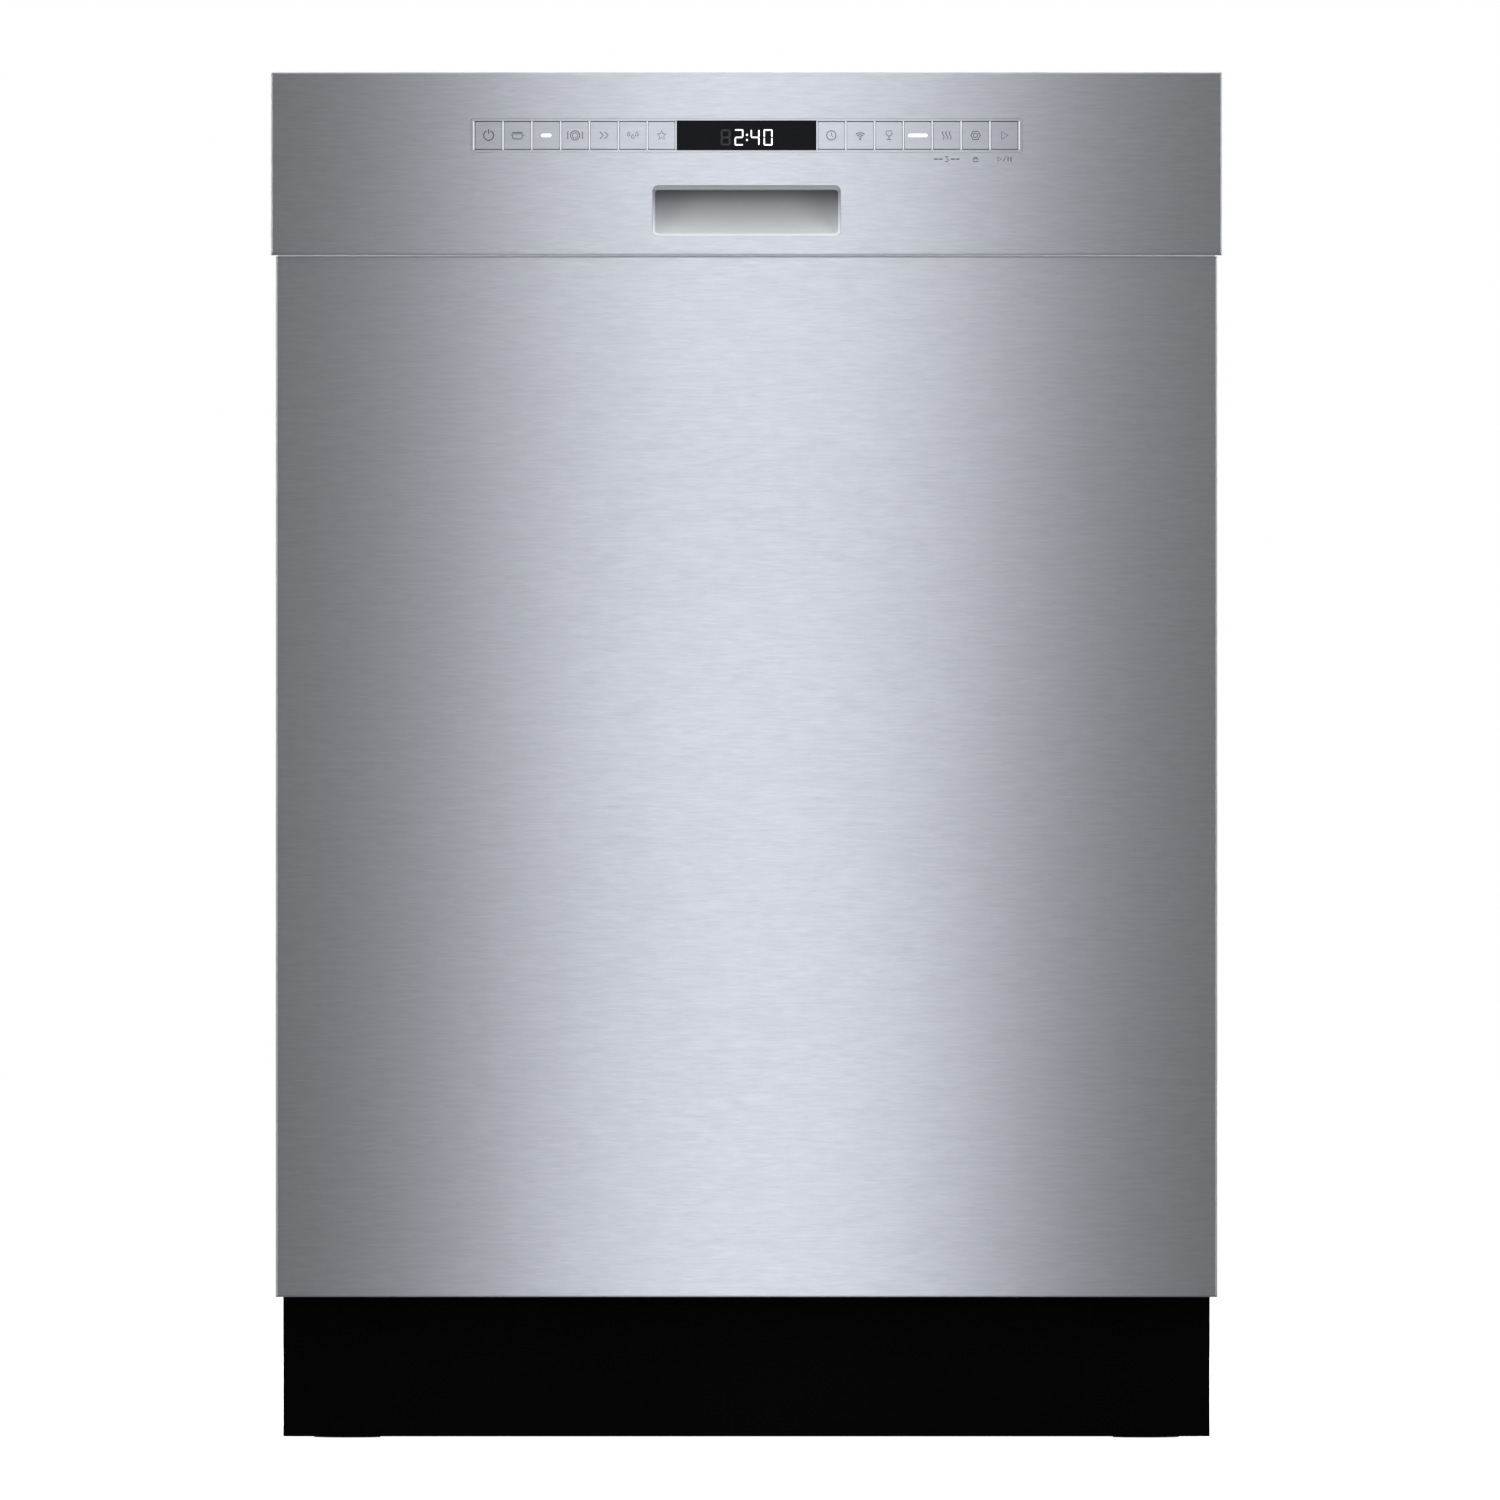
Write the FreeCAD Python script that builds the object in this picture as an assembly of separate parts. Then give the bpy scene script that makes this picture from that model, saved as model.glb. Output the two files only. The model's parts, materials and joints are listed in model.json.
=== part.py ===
import FreeCAD, Part
import math
import os

# Built-in (undercounter) dishwasher, front control, recessed grip.
# Millimetres. +Z up, front faces -Y, X to the right seen from the front.
# Origin: on the floor, under the middle of the machine's outline.

os.makedirs("parts", exist_ok=True)
V = FreeCAD.Vector

# ---------------------------------------------------------------- driving dimensions
HALF_W = 299.0            # half width of the fascia, the widest piece
HEIGHT = 860.0            # floor to fascia top, feet screwed in
Y_FRONT = -301.5          # front plane of the fascia
Y_BACK = 301.5            # ends of the hose connections
DOOR_HALF_W = 296.0
DOOR_Z0, DOOR_Z1 = 89.8, 744.0
DOOR_Y = -299.9           # front plane of the door skin
FASCIA_Z0 = 745.0
SHEET = 1.2
PIVOT_Y, PIVOT_Z = -262.0, 118.0
LINER_Y = -244.8          # tub side of the liner's flange
LINER_RAISED_Y = -231.0
TUB_HALF_W, TUB_TOP = 268.0, 824.0
TUB_Y0, TUB_Y1 = -240.0, 280.0
TUB_T = 0.8
LEDGE_Z = 150.0           # runway of the lower rack's wheels
FLOOR_Z = 134.0
KICK_HALF_W, KICK_Z1, KICK_Y = 292.0, 100.0, -225.0
BASE_HALF_W, BASE_Z0, BASE_Z1 = 290.0, 12.0, 128.0
CELL, CELL_START = 18.13, 44.3          # key pitch and start of each key block
STRIP_HALF_W, STRIP_Z0, STRIP_Z1 = 173.3, 809.5, 830.7
KEY_Z0, KEY_Z1 = 811.1, 829.1
POCKET_HALF_W, POCKET_Z0, POCKET_Z1 = 57.6, 758.4, 785.9
POCKET_LIP = 2.8   # height of the lining's lip along the top of the opening
SCOOP_R, SCOOP_Y, SCOOP_Z = 62.2, -334.2, 809.3   # the grip's curved back: radius and centre
ARM_R = 35.0                            # crank radius that pulls the spring rod
HUB = (0.0, 20.0)                       # spray arm axis, lower
UHUB = (0.0, 25.0)                      # spray arm axis, upper
WIRE = 2.0


# ---------------------------------------------------------------- helpers
def box(x0, x1, y0, y1, z0, z1):
    return Part.makeBox(x1 - x0, y1 - y0, z1 - z0, V(x0, y0, z0))


def cyl(r, p, d, h):
    return Part.makeCylinder(r, h, V(*p), V(*d))


def rod(p, q, r):
    a, b = V(*p), V(*q)
    return Part.makeCylinder(r, (b - a).Length, a, b - a)


def prism(points, vec):
    w = Part.makePolygon([V(*p) for p in points] + [V(*points[0])])
    return Part.Face(w).extrude(V(*vec))


def rrect_y(x0, x1, z0, z1, y0, y1, r, bottom=True):
    """Rounded rectangle in XZ, extruded along Y. bottom False leaves the two lower corners square."""
    s = box(x0, x1, y0, y1, z0, z1)
    edges = []
    for e in s.Edges:
        a, b = e.Vertexes[0].Point, e.Vertexes[1].Point
        if abs(a.x - b.x) < 1e-6 and abs(a.z - b.z) < 1e-6:
            if bottom or a.z > (z0 + z1) / 2:
                edges.append(e)
    return s.makeFillet(r, edges)


def rrect_z(x0, x1, y0, y1, z0, z1, r):
    s = box(x0, x1, y0, y1, z0, z1)
    edges = [e for e in s.Edges
             if abs(e.Vertexes[0].Point.x - e.Vertexes[1].Point.x) < 1e-6
             and abs(e.Vertexes[0].Point.y - e.Vertexes[1].Point.y) < 1e-6]
    return s.makeFillet(r, edges)


def fuse(items):
    s = items[0]
    if len(items) > 1:
        s = s.multiFuse(items[1:])
    return s.removeSplitter()


def cut(a, items):
    return a.cut(items) if len(items) > 1 else a.cut(items[0])


def mirror_x(s):
    return s.mirror(V(0, 0, 0), V(1, 0, 0))


def tile(shape, xs, ys, zs, keep=None):
    """Divides a folded or pressed piece at the given planes into plain solids that touch."""
    res = []
    for i in range(len(xs) - 1):
        for j in range(len(ys) - 1):
            for k in range(len(zs) - 1):
                c = shape.common(box(xs[i], xs[i + 1], ys[j], ys[j + 1], zs[k], zs[k + 1]))
                res += [q for q in c.Solids if q.Volume > 1e-3]
    return res


NAMES = []


def out(name, shape):
    solids = []
    for s in (shape if isinstance(shape, list) else [shape]):
        solids += s.Solids
    for s in solids:
        if not s.isValid() or s.Volume <= 0:
            print("BAD SOLID", name, s.isValid(), s.Volume)
    c = solids[0] if len(solids) == 1 else Part.makeCompound(solids)
    c.exportStep("parts/%s.step" % name)
    NAMES.append((name, len(solids), sum(s.Volume for s in solids)))


# ================================================================ chassis
# ---- tub: one-piece stainless shell, open at the front and the bottom
tub_out = rrect_y(-TUB_HALF_W - TUB_T, TUB_HALF_W + TUB_T, 40, TUB_TOP + TUB_T, TUB_Y0, TUB_Y1 + TUB_T, 20 + TUB_T, False)
tub_in = rrect_y(-TUB_HALF_W, TUB_HALF_W, 30, TUB_TOP, TUB_Y0 - 20, TUB_Y1, 20, False)
flange = rrect_y(-282.5, 282.5, 40, 838, TUB_Y0, TUB_Y0 + TUB_T, 24, False).cut(tub_in)
tub = tub_out.cut(tub_in).fuse(flange).cut(box(-400, 400, -400, 400, 0, 132))
VENT_Y, VENT_Z = 60.0, 330.0
tub = tub.cut(cyl(14.0, (-275, VENT_Y, VENT_Z), (1, 0, 0), 12))
tub = tub.removeSplitter()
tub_cells = tile(tub, (-400, 400), (TUB_Y1, 400), (0, 900))
for ya, yb in ((TUB_Y0 - 1, TUB_Y0 + TUB_T), (TUB_Y0 + TUB_T, TUB_Y1)):
    tub_cells += tile(tub, (-400, -TUB_HALF_W + 20, TUB_HALF_W - 20, 400), (ya, yb), (0, TUB_TOP - 20, 900))
out("tub_shell", tub_cells)

# ---- tub floor: hat-section pressing with wheel ledges, sloped basin and front lip
zf = FLOOR_Z
prof = [(-267.9, 132.2), (-267.9, LEDGE_Z), (-238, LEDGE_Z), (-238, zf), (238, zf), (238, LEDGE_Z), (267.9, LEDGE_Z), (267.9, 132.2),
        (266.9, 132.2), (266.9, LEDGE_Z - 1), (239, LEDGE_Z - 1), (239, zf - 1), (-239, zf - 1), (-239, LEDGE_Z - 1), (-266.9, LEDGE_Z - 1), (-266.9, 132.2)]
floor = prism([(x, -239.0, z) for x, z in prof], (0, 518.9, 0))
lip_prof = [(-267.9, 120), (-267.9, LEDGE_Z), (-238, LEDGE_Z), (-238, zf), (238, zf), (238, LEDGE_Z), (267.9, LEDGE_Z), (267.9, 120)]
lip = prism([(x, -239.0, z) for x, z in lip_prof], (0, 1.0, 0))


def rect_wire(x0, x1, y0, y1, z):
    return Part.makePolygon([V(x0, y0, z), V(x1, y0, z), V(x1, y1, z), V(x0, y1, z), V(x0, y0, z)])


b_out = Part.makeLoft([rect_wire(-200, 200, -190, 232, zf), rect_wire(-130, 130, -110, 150, 112)], True, True)
b_in = Part.makeLoft([rect_wire(-200 + 1.1, 200 - 1.1, -190 + 1.1, 232 - 1.1, zf + 0.2), rect_wire(-130 + 1.1, 130 - 1.1, -110 + 1.1, 150 - 1.1, 113)], True, True)
floor = fuse([floor, lip]).cut(box(-198.8, 198.8, -188.8, 230.8, 100, 140))
floor = fuse([floor, b_out.cut(b_in).cut(cyl(106, (HUB[0], HUB[1], 100), (0, 0, 1), 30))])
floor = floor.cut(b_in)
fcells = []
# front lip, wheel ledges with their skirts, flat margins, four sloped walls, bottom round the sump
fcells += tile(floor, (-300, -238, 238, 300), (-240, -238), (100, 160))
for xa, xb in ((-300, -266.9), (-266.9, -239), (-239, -238), (238, 239), (239, 266.9), (266.9, 300)):
    fcells += tile(floor, (xa, xb), (-238, 300), (100, 160))
fcells += tile(floor, (-238, 238), (-238, -190, 232, 300), (zf - 1, 160))[0:1]
fcells += tile(floor, (-238, 238), (232, 300), (zf - 1, 160))
fcells += tile(floor, (-238, -200), (-190, 232), (zf - 1, 160)) + tile(floor, (200, 238), (-190, 232), (zf - 1, 160))
basin = b_out.cut(b_in).cut(cyl(106, (HUB[0], HUB[1], 100), (0, 0, 1), 30))
corner = [(-200, -190, -130, -110), (200, -190, 130, -110), (200, 232, 130, 150), (-200, 232, -130, 150)]
for i in range(4):
    p, q = corner[i], corner[(i + 1) % 4]
    ex = [(p[0] * 1.5 - p[2] * 0.5, p[1] * 1.5 - p[3] * 0.5), (q[0] * 1.5 - q[2] * 0.5, q[1] * 1.5 - q[3] * 0.5)]
    inn = [(p[2] * 1.3 - p[0] * 0.3, p[3] * 1.3 - p[1] * 0.3), (q[2] * 1.3 - q[0] * 0.3, q[3] * 1.3 - q[1] * 0.3)]
    wedge = prism([(inn[0][0], inn[0][1], 113), (inn[1][0], inn[1][1], 113), (ex[1][0], ex[1][1], 113), (ex[0][0], ex[0][1], 113)], (0, 0, 30))
    fcells += [c for c in basin.common(wedge).Solids if c.Volume > 1e-3]
for i in range(8):
    a0, a1 = math.radians(45 * i), math.radians(45 * i + 45)
    wedge = prism([(HUB[0], HUB[1], 100)] + [(HUB[0] + 320 * math.cos(t), HUB[1] + 320 * math.sin(t), 100) for t in (a0, a1)], (0, 0, 13))
    fcells += [c for c in basin.common(wedge).Solids if c.Volume > 1e-3]
print("tub_floor", round(floor.Volume), round(sum(c.Volume for c in fcells)), len(fcells))
out("tub_floor", fcells)

# ---- seals: bulb round the opening, lip seal along the bottom
seal_u = rrect_y(-279.5, 279.5, 154, 835.5, -244.4, -240.05, 22, False).cut(rrect_y(-272.5, 272.5, 100, 828.5, -260, -230, 18, False))
seal_b = box(-262, 262, -244.4, -240.0, 119, 130).cut(box(-263, 263, -240.9, -239, 118, 128)).cut(prism([(-263, -244.5, 118), (-263, -242, 118), (-263, -244.5, 124)], (526, 0, 0)))
out("door_seals", [seal_u, seal_b])

# ---- insulation blanket, an inverted U with a window for the inlet unit
blanket = rrect_y(-281.5, 281.5, 40, 837, -211.5, 279, 30, False).cut(rrect_y(-270, 270, 30, 826, -220, 290, 21, False))
blanket = blanket.cut(box(-400, 400, -400, 400, 0, 165)).cut(box(-300, -265, -44, 164, 236, 564)).cut(box(-300, -265, 100, 120, 160, 240)).cut(box(-300, -265, -10, 10, 160, 240))
out("insulation_blanket", blanket)

# ---- front frame: two posts, head rail, door strike
def post(sx):
    p = box(270.5, 283, -239.1, -213, 128.3, 838).cut(box(271.7, 281.8, -237.9, -212, 120, 850))
    return p if sx > 0 else mirror_x(p)


rail_top = box(-283, 283, -239.1, -213, 838.3, 850).cut(box(-284, 284, -237.9, -214.2, 838, 848.8))
strike = fuse([box(-8, 8, -251, -237, 842, 845), box(-8, 8, -251, -248.5, 842, 849)])
frame_top = fuse([rail_top, strike])
out("front_frame", [post(1), post(-1), frame_top])

# ---- worktop fixing brackets on the head rail
def bracket(cx):
    s = fuse([box(cx - 22, cx + 22, -236, -206, 850.1, 851.6), box(cx - 22, cx + 22, -207.5, -206, 850.1, 857.5), box(cx - 22, cx + 22, -206.2, -176, 856, 857.5)])
    return s.cut(cyl(2.75, (cx, -191, 840), (0, 0, 1), 30)).cut(cyl(2.2, (cx, -224, 840), (0, 0, 1), 30))


out("worktop_brackets", [bracket(-210), bracket(210)])

# ---- base pan: drip tray with bosses for the screw feet
FEET = {"foot_front_left": (-252.0, -190.0), "foot_front_right": (252.0, -190.0), "foot_rear": (0.0, 262.0)}
base = rrect_z(-BASE_HALF_W, BASE_HALF_W, -222, 290, BASE_Z0, BASE_Z1, 10)
base = base.cut(rrect_z(-BASE_HALF_W + 3, BASE_HALF_W - 3, -219, 287, BASE_Z0 + 3, BASE_Z1 + 5, 7.5))
adds, holes = [], []
for fx, fy in FEET.values():
    adds.append(cyl(11, (fx, fy, BASE_Z0), (0, 0, 1), 62))
    holes.append(cyl(5.4, (fx, fy, 5), (0, 0, 1), 80))
for i in range(6):
    y = -30 + i * 54
    for sx in (-1, 1):
        adds.append(box(min(sx * 289, sx * 291.6), max(sx * 289, sx * 291.6), y, y + 4, 18, 122))
for x in (-120, -60, 60, 120):
    adds.append(box(x, x + 4, 289, 292, 18, 122))
for sx in (-1, 1):
    adds.append(box(min(sx * 225, sx * 275), max(sx * 225, sx * 275), 255, 285, 4, 12.5))
base = fuse([base] + adds)
holes += [box(-262, -146, 280, 296, 38, 112), box(188, 232, 280, 296, 28, 76)]
for sx in (-1, 1):
    holes.append(box(min(sx * 280, sx * 296), max(sx * 280, sx * 296), 60 if sx < 0 else 20, 100 if sx < 0 else 76, 60, 96))
base = cut(base, holes)
bcells = tile(base, (-400, 400), (-400, 400), (0, BASE_Z0)) + tile(base, (-400, 400), (-400, 400), (BASE_Z0, BASE_Z0 + 3))
zb = BASE_Z0 + 3
inner = box(-BASE_HALF_W + 3, BASE_HALF_W - 3, -219, 287, zb, 200)
bosses = base.common(inner)
bcells += [c for c in bosses.Solids if c.Volume > 1e-3]
walls = base.cut(inner)
W3 = BASE_HALF_W - 3
bcells += tile(walls, (-400, -280, 280, 400), (-400, -212), (zb, 200))
bcells += tile(walls, (-400, -280), (-212, 60, 100, 280), (zb, 60, 96, 200))
bcells += tile(walls, (280, 400), (-212, 20, 76, 280), (zb, 60, 96, 200))
bcells += tile(walls, (-400, -280), (280, 400), (zb, 200)) + tile(walls, (280, 400), (280, 400), (zb, 200))
bcells += tile(walls, (-280, -262), (280, 400), (zb, 200)) + tile(walls, (-262, -146), (280, 400), (zb, 38, 112, 200)) + tile(walls, (-146, 188), (280, 400), (zb, 200))
bcells += tile(walls, (188, 232), (280, 400), (zb, 28, 76, 200)) + tile(walls, (232, 280), (280, 400), (zb, 200))
print("base_pan", round(base.Volume), round(sum(c.Volume for c in bcells)), len(bcells))
out("base_pan", bcells)

# ---- toe kick: folded black panel, held just off the floor
kick = box(-KICK_HALF_W, KICK_HALF_W, KICK_Y, KICK_Y + 1.5, 1.0, KICK_Z1)
kick = fuse([kick, box(-KICK_HALF_W, KICK_HALF_W, KICK_Y, KICK_Y + 14, 1.0, 2.5).cut(box(-300, 300, KICK_Y + 2.9, KICK_Y + 30, -5, 0)),
             box(-KICK_HALF_W, -KICK_HALF_W + 1.5, KICK_Y, KICK_Y + 2.8, 1.0, KICK_Z1), box(KICK_HALF_W - 1.5, KICK_HALF_W, KICK_Y, KICK_Y + 2.8, 1.0, KICK_Z1)])
kick = kick.cut(box(-300, 300, KICK_Y + 2.9, 0, 8, 200)).cut(cyl(3, (-235, KICK_Y - 5, 70), (0, 1, 0), 20)).cut(cyl(3, (235, KICK_Y - 5, 70), (0, 1, 0), 20))
out("toe_kick", kick)

# ---- screw feet
for name, (fx, fy) in FEET.items():
    foot = fuse([Part.makeCone(21, 19, 6, V(fx, fy, 0)), cyl(5.0, (fx, fy, 5.5), (0, 0, 1), 78), cyl(9.0, (fx, fy, 5.5), (0, 0, 1), 4.5)])
    foot = foot.cut(box(fx - 1, fx + 1, fy - 10, fy + 10, 81, 90))
    out(name, foot)

# ---- hinge brackets with pivot pin and spring stop
def hinge_bracket():
    lug = cyl(14, (290.5, PIVOT_Y, PIVOT_Z), (1, 0, 0), 3)
    arm = box(290.5, 293.5, PIVOT_Y, -60, 106, 132)
    web = box(290.5, 293.5, -202, -190, 131, 158)
    tab = box(277, 293.5, -193, -190, 128.6, 158)
    pin = cyl(4.0, (284.2, PIVOT_Y, PIVOT_Z), (1, 0, 0), 7)
    s = fuse([lug, arm, web, tab, pin]).cut(cyl(3.0, (288.6, -206, 146), (0, 1, 0), 26))
    for y in (-170, -120, -75):
        s = s.cut(cyl(2.6, (289, y, 119), (1, 0, 0), 6))
    return s


hb = hinge_bracket()
out("hinge_brackets", [hb, mirror_x(hb)])

# ---- spring rods: slotted eye on the arm's crank pin, washer at the far end
CR = (PIVOT_Y + ARM_R * math.sin(math.radians(45)), PIVOT_Z + ARM_R * math.cos(math.radians(45)))


def spring_rod():
    y, z = CR
    eye = rrect_z(287.7, 289.5, y - 9, y + 9, z - 9.5, z + 20, 0.4)
    neck = box(287.7, 289.5, y + 8, y + 16, 141, 151)
    r = rod((288.6, y + 12, 146), (288.6, -60, 146), 2.4)
    washer = rod((288.6, -68, 146), (288.6, -65, 146), 6.0)
    nut = rod((288.6, -65.2, 146), (288.6, -61, 146), 4.2)
    slot = fuse([box(280, 296, y - 4.4, y + 4.4, z, z + 10.3), cyl(4.4, (280, y, z), (1, 0, 0), 16), cyl(4.4, (280, y, z + 10.3), (1, 0, 0), 16)])
    return fuse([eye, neck, r, washer, nut]).cut(slot)


sr = spring_rod()
out("spring_rods", [sr, mirror_x(sr)])


def coil(cx, y0, y1, z, R, r, turns):
    h = Part.makeHelix((y1 - y0 - 2 * r) / turns, y1 - y0 - 2 * r, R)
    prof_w = Part.Wire([Part.makeCircle(r, V(R, 0, 0), V(0, 1, 0))])
    s = Part.Wire(h).makePipeShell([prof_w], True, True)
    s.rotate(V(0, 0, 0), V(1, 0, 0), -90)
    s.translate(V(cx, y0 + r, z))
    return s


spring = coil(288.6, -189.6, -68.4, 146, 4.6, 1.0, 16)
out("door_springs", [spring, mirror_x(spring)])

# ---- sump bowl with spray arm pedestal
sx0, sy0 = HUB
sump = cyl(112, (sx0, sy0, 60), (0, 0, 1), 51.6).cut(cyl(108.5, (sx0, sy0, 63.5), (0, 0, 1), 60))
sump = fuse([sump, cyl(118, (sx0, sy0, 108.6), (0, 0, 1), 3).cut(cyl(108.5, (sx0, sy0, 100), (0, 0, 1), 20)),
             cyl(16, (sx0, sy0, 62), (0, 0, 1), 77), cyl(10, (sx0, sy0, 138), (0, 0, 1), 12),
             cyl(40, (sx0 + 54, sy0 - 42, 62), (0, 0, 1), 14),
             cyl(16, (sx0, sy0 + 108, 84), (0, 1, 0), 32)])
sump = sump.cut(cyl(37, (sx0 + 54, sy0 - 42, 66), (0, 0, 1), 20)).cut(cyl(7, (sx0, sy0, 70), (0, 0, 1), 90)).cut(cyl(13, (sx0, sy0 + 90, 84), (0, 1, 0), 60))
out("sump", sump)

# ---- circulation pump with heater ring, on the sump's outlet
cp = fuse([cyl(34, (0, 161, 72), (0, 1, 0), 30), cyl(29, (0, 190, 72), (0, 1, 0), 53), cyl(20, (0, 160.4, 84), (0, 1, 0), 3), box(-20, 20, 196, 238, 40, 52), cyl(13, (40, 176, 84), (-1, 0, 0), 40)])
cp = fuse([cp, cyl(5, (0, 242, 72), (0, 1, 0), 6)])
out("circulation_pump", cp)

# ---- drain pump on the sump's side, with its outlet pipe to the rear
dp = fuse([cyl(24, (-113, 20, 84), (-1, 0, 0), 34), cyl(20, (-146, 20, 84), (-1, 0, 0), 30), cyl(9.5, (-160, 30, 84), (0, 1, 0), 242), cyl(10.5, (-160, Y_BACK - 30, 84), (0, 1, 0), 30)])
dp = dp.cut(cyl(7.5, (-160, 60, 84), (0, 1, 0), 260))
out("drain_pump", dp)

# ---- fine filter plate and the twist-lock filter cylinder
FX, FY = sx0 + 54, sy0 - 42
fp = cyl(103, (sx0, sy0, 113.2), (0, 0, 1), 1.2).cut(cyl(17.5, (sx0, sy0, 110), (0, 0, 1), 10)).cut(cyl(36.6, (FX, FY, 110), (0, 0, 1), 10))
perf = []
for ring, n in ((46, 18), (64, 26), (82, 34), (94, 40)):
    for i in range(n):
        a = 2 * math.pi * i / n
        px, py = sx0 + ring * math.cos(a), sy0 + ring * math.sin(a)
        if math.hypot(px - FX, py - FY) > 40:
            perf.append(cyl(1.6, (px, py, 110), (0, 0, 1), 10))
fp = fp.cut(perf)
out("filter_plate", fp)
fc = fuse([cyl(35.5, (FX, FY, 76.5), (0, 0, 1), 42), cyl(37.6, (FX, FY, 114.8), (0, 0, 1), 3)])
fc = fc.cut(cyl(32.5, (FX, FY, 79), (0, 0, 1), 60))
fc = fuse([fc, box(FX - 33.5, FX + 33.5, FY - 2, FY + 2, 108, 130), cyl(9, (FX, FY, 79), (0, 0, 1), 50)])
out("filter_cylinder", fc)


# ---- spray arms
def blade(cx, cy, z0, z1, w0, w1, length, sweep, sign):
    zm, h = (z0 + z1) / 2, (z1 - z0) / 2
    secs = []
    for t in (0.0, 0.35, 0.7, 1.0):
        x = cx + sign * (8 + (length - 8) * t)
        w = w0 + (w1 - w0) * t
        off = sign * sweep * t * t
        hh = h * (1 - 0.35 * t)
        pts = [(-w, -hh * 0.5), (-w * 0.7, -hh), (w * 0.7, -hh), (w, -hh * 0.5), (w, hh * 0.5), (w * 0.7, hh), (-w * 0.7, hh), (-w, hh * 0.5)]
        secs.append(Part.makePolygon([V(x, cy + off + a, zm + b) for a, b in pts + pts[:1]]))
    return Part.makeLoft(secs, True, True)


def spray_arm(cx, cy, z0, z1, hub_r, hub_z0, hub_z1, bore_r, bore_z1, w0, w1, length, sweep, nozzles):
    s = fuse([blade(cx, cy, z0, z1, w0, w1, length, sweep, 1), blade(cx, cy, z0, z1, w0, w1, length, sweep, -1), cyl(hub_r, (cx, cy, hub_z0), (0, 0, 1), hub_z1 - hub_z0)])
    tools = [cyl(bore_r, (cx, cy, hub_z0 - 5), (0, 0, 1), bore_z1 - hub_z0 + 5)]
    for i in range(nozzles):
        t = 0.25 + 0.7 * i / (nozzles - 1)
        for sg in (1, -1):
            r = 8 + (length - 8) * t
            tools.append(cyl(1.8, (cx + sg * r, cy + sg * sweep * t * t + (5 if i % 2 else -5) * (1 - 0.4 * t), z1 - 6), (0, 0, 1), 10))
    return s.cut(tools)


out("lower_spray_arm", spray_arm(HUB[0], HUB[1], 149, 162, 24, 139.4, 163.5, 10.06, 151, 24, 13, 205, 16, 6))
out("upper_spray_arm", spray_arm(UHUB[0], UHUB[1], 476, 486, 20, 475, 487.4, 8.06, 500, 19, 11, 190, 13, 6))

# ---- feed tube up the back wall and along the ceiling to the top shower
ft = fuse([rrect_z(-15, 15, 264, 279.6, 134.6, 806, 6), box(-12, 12, 24, 272, 806, 820), cyl(17, (0, 264.5, 495.5), (0, -1, 0), 5), rrect_z(-26, 26, 258, 279.6, 134.3, 142, 6)])
ft = fuse([ft, cyl(30, (0, 20, 808), (0, 0, 1), 12), Part.makeCone(38, 30, 12, V(0, 20, 796))])
ft = ft.cut([cyl(2, (0 + 24 * math.cos(a), 20 + 24 * math.sin(a), 790), (0, 0, 1), 10) for a in [i * math.pi / 4 for i in range(8)]])
out("feed_tube", ft)

# ---- inlet unit on the left side, with its vent cap in the tub
iu = rrect_z(-289, -270.6, -40, 160, 240, 560, 5)
iu = fuse([iu, cyl(13.7, (-275, VENT_Y, VENT_Z), (1, 0, 0), 9), cyl(20, (-267.8, VENT_Y, VENT_Z), (1, 0, 0), 4.5), cyl(6, (-279, 110, 100), (0, 0, 1), 145), cyl(6, (-279, 0, 150), (0, 0, 1), 95)])
for i in range(5):
    iu = iu.cut(box(-300, -286.5, -28 + i * 38, -28 + i * 38 + 26, 300, 540))
out("inlet_unit", iu)

# ---- inlet valve with hose thread at the rear
iv = fuse([box(-258, -212, 232, 284, 40, 92), cyl(13.2, (-235, 283, 66), (0, 1, 0), Y_BACK - 283), cyl(17, (-235, 283.5, 66), (0, 1, 0), 4), cyl(5, (-258, 246, 70), (-1, 0, 0), 14), box(-250, -220, 236, 262, 91, 112)])
iv = iv.cut(cyl(9, (-235, 270, 66), (0, 1, 0), 40))
out("inlet_valve", iv)

# ---- junction box, supply entry in its rear wall
jb = box(172, 248, 226, 286.8, 22, 82).cut(box(174, 246, 228, 284.8, 24, 80)).cut(cyl(11.1, (210, 280, 52), (0, 1, 0), 20))
out("junction_box", tile(jb, (170, 250), (284.8, 290), (20, 90)) + tile(jb, (170, 250), (220, 228), (20, 90)) + tile(jb, (170, 174), (228, 284.8), (20, 90)) + tile(jb, (246, 250), (228, 284.8), (20, 90))
    + tile(jb, (174, 246), (228, 284.8), (20, 24)) + tile(jb, (174, 246), (228, 284.8), (80, 90)))

# ---- guides that carry the upper rack's rails
def guide(y0):
    g = box(258, 267.9, y0, y0 + 30, 586, 618).cut(box(255, 264.3, y0 - 1, y0 + 31, 589.7, 614.3))
    return g


gs = [guide(-195), guide(-110)]
guides = []
for g in gs + [mirror_x(g) for g in gs]:
    guides += tile(g, (-300, -264.3), (-300, 0), (500, 700)) + tile(g, (264.3, 300), (-300, 0), (500, 700))
    guides += tile(g, (-264.3, 264.3), (-300, 0), (500, 600, 700))
out("rail_guides", guides)

# ================================================================ racks
def grille(rods):
    return fuse(rods)


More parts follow.
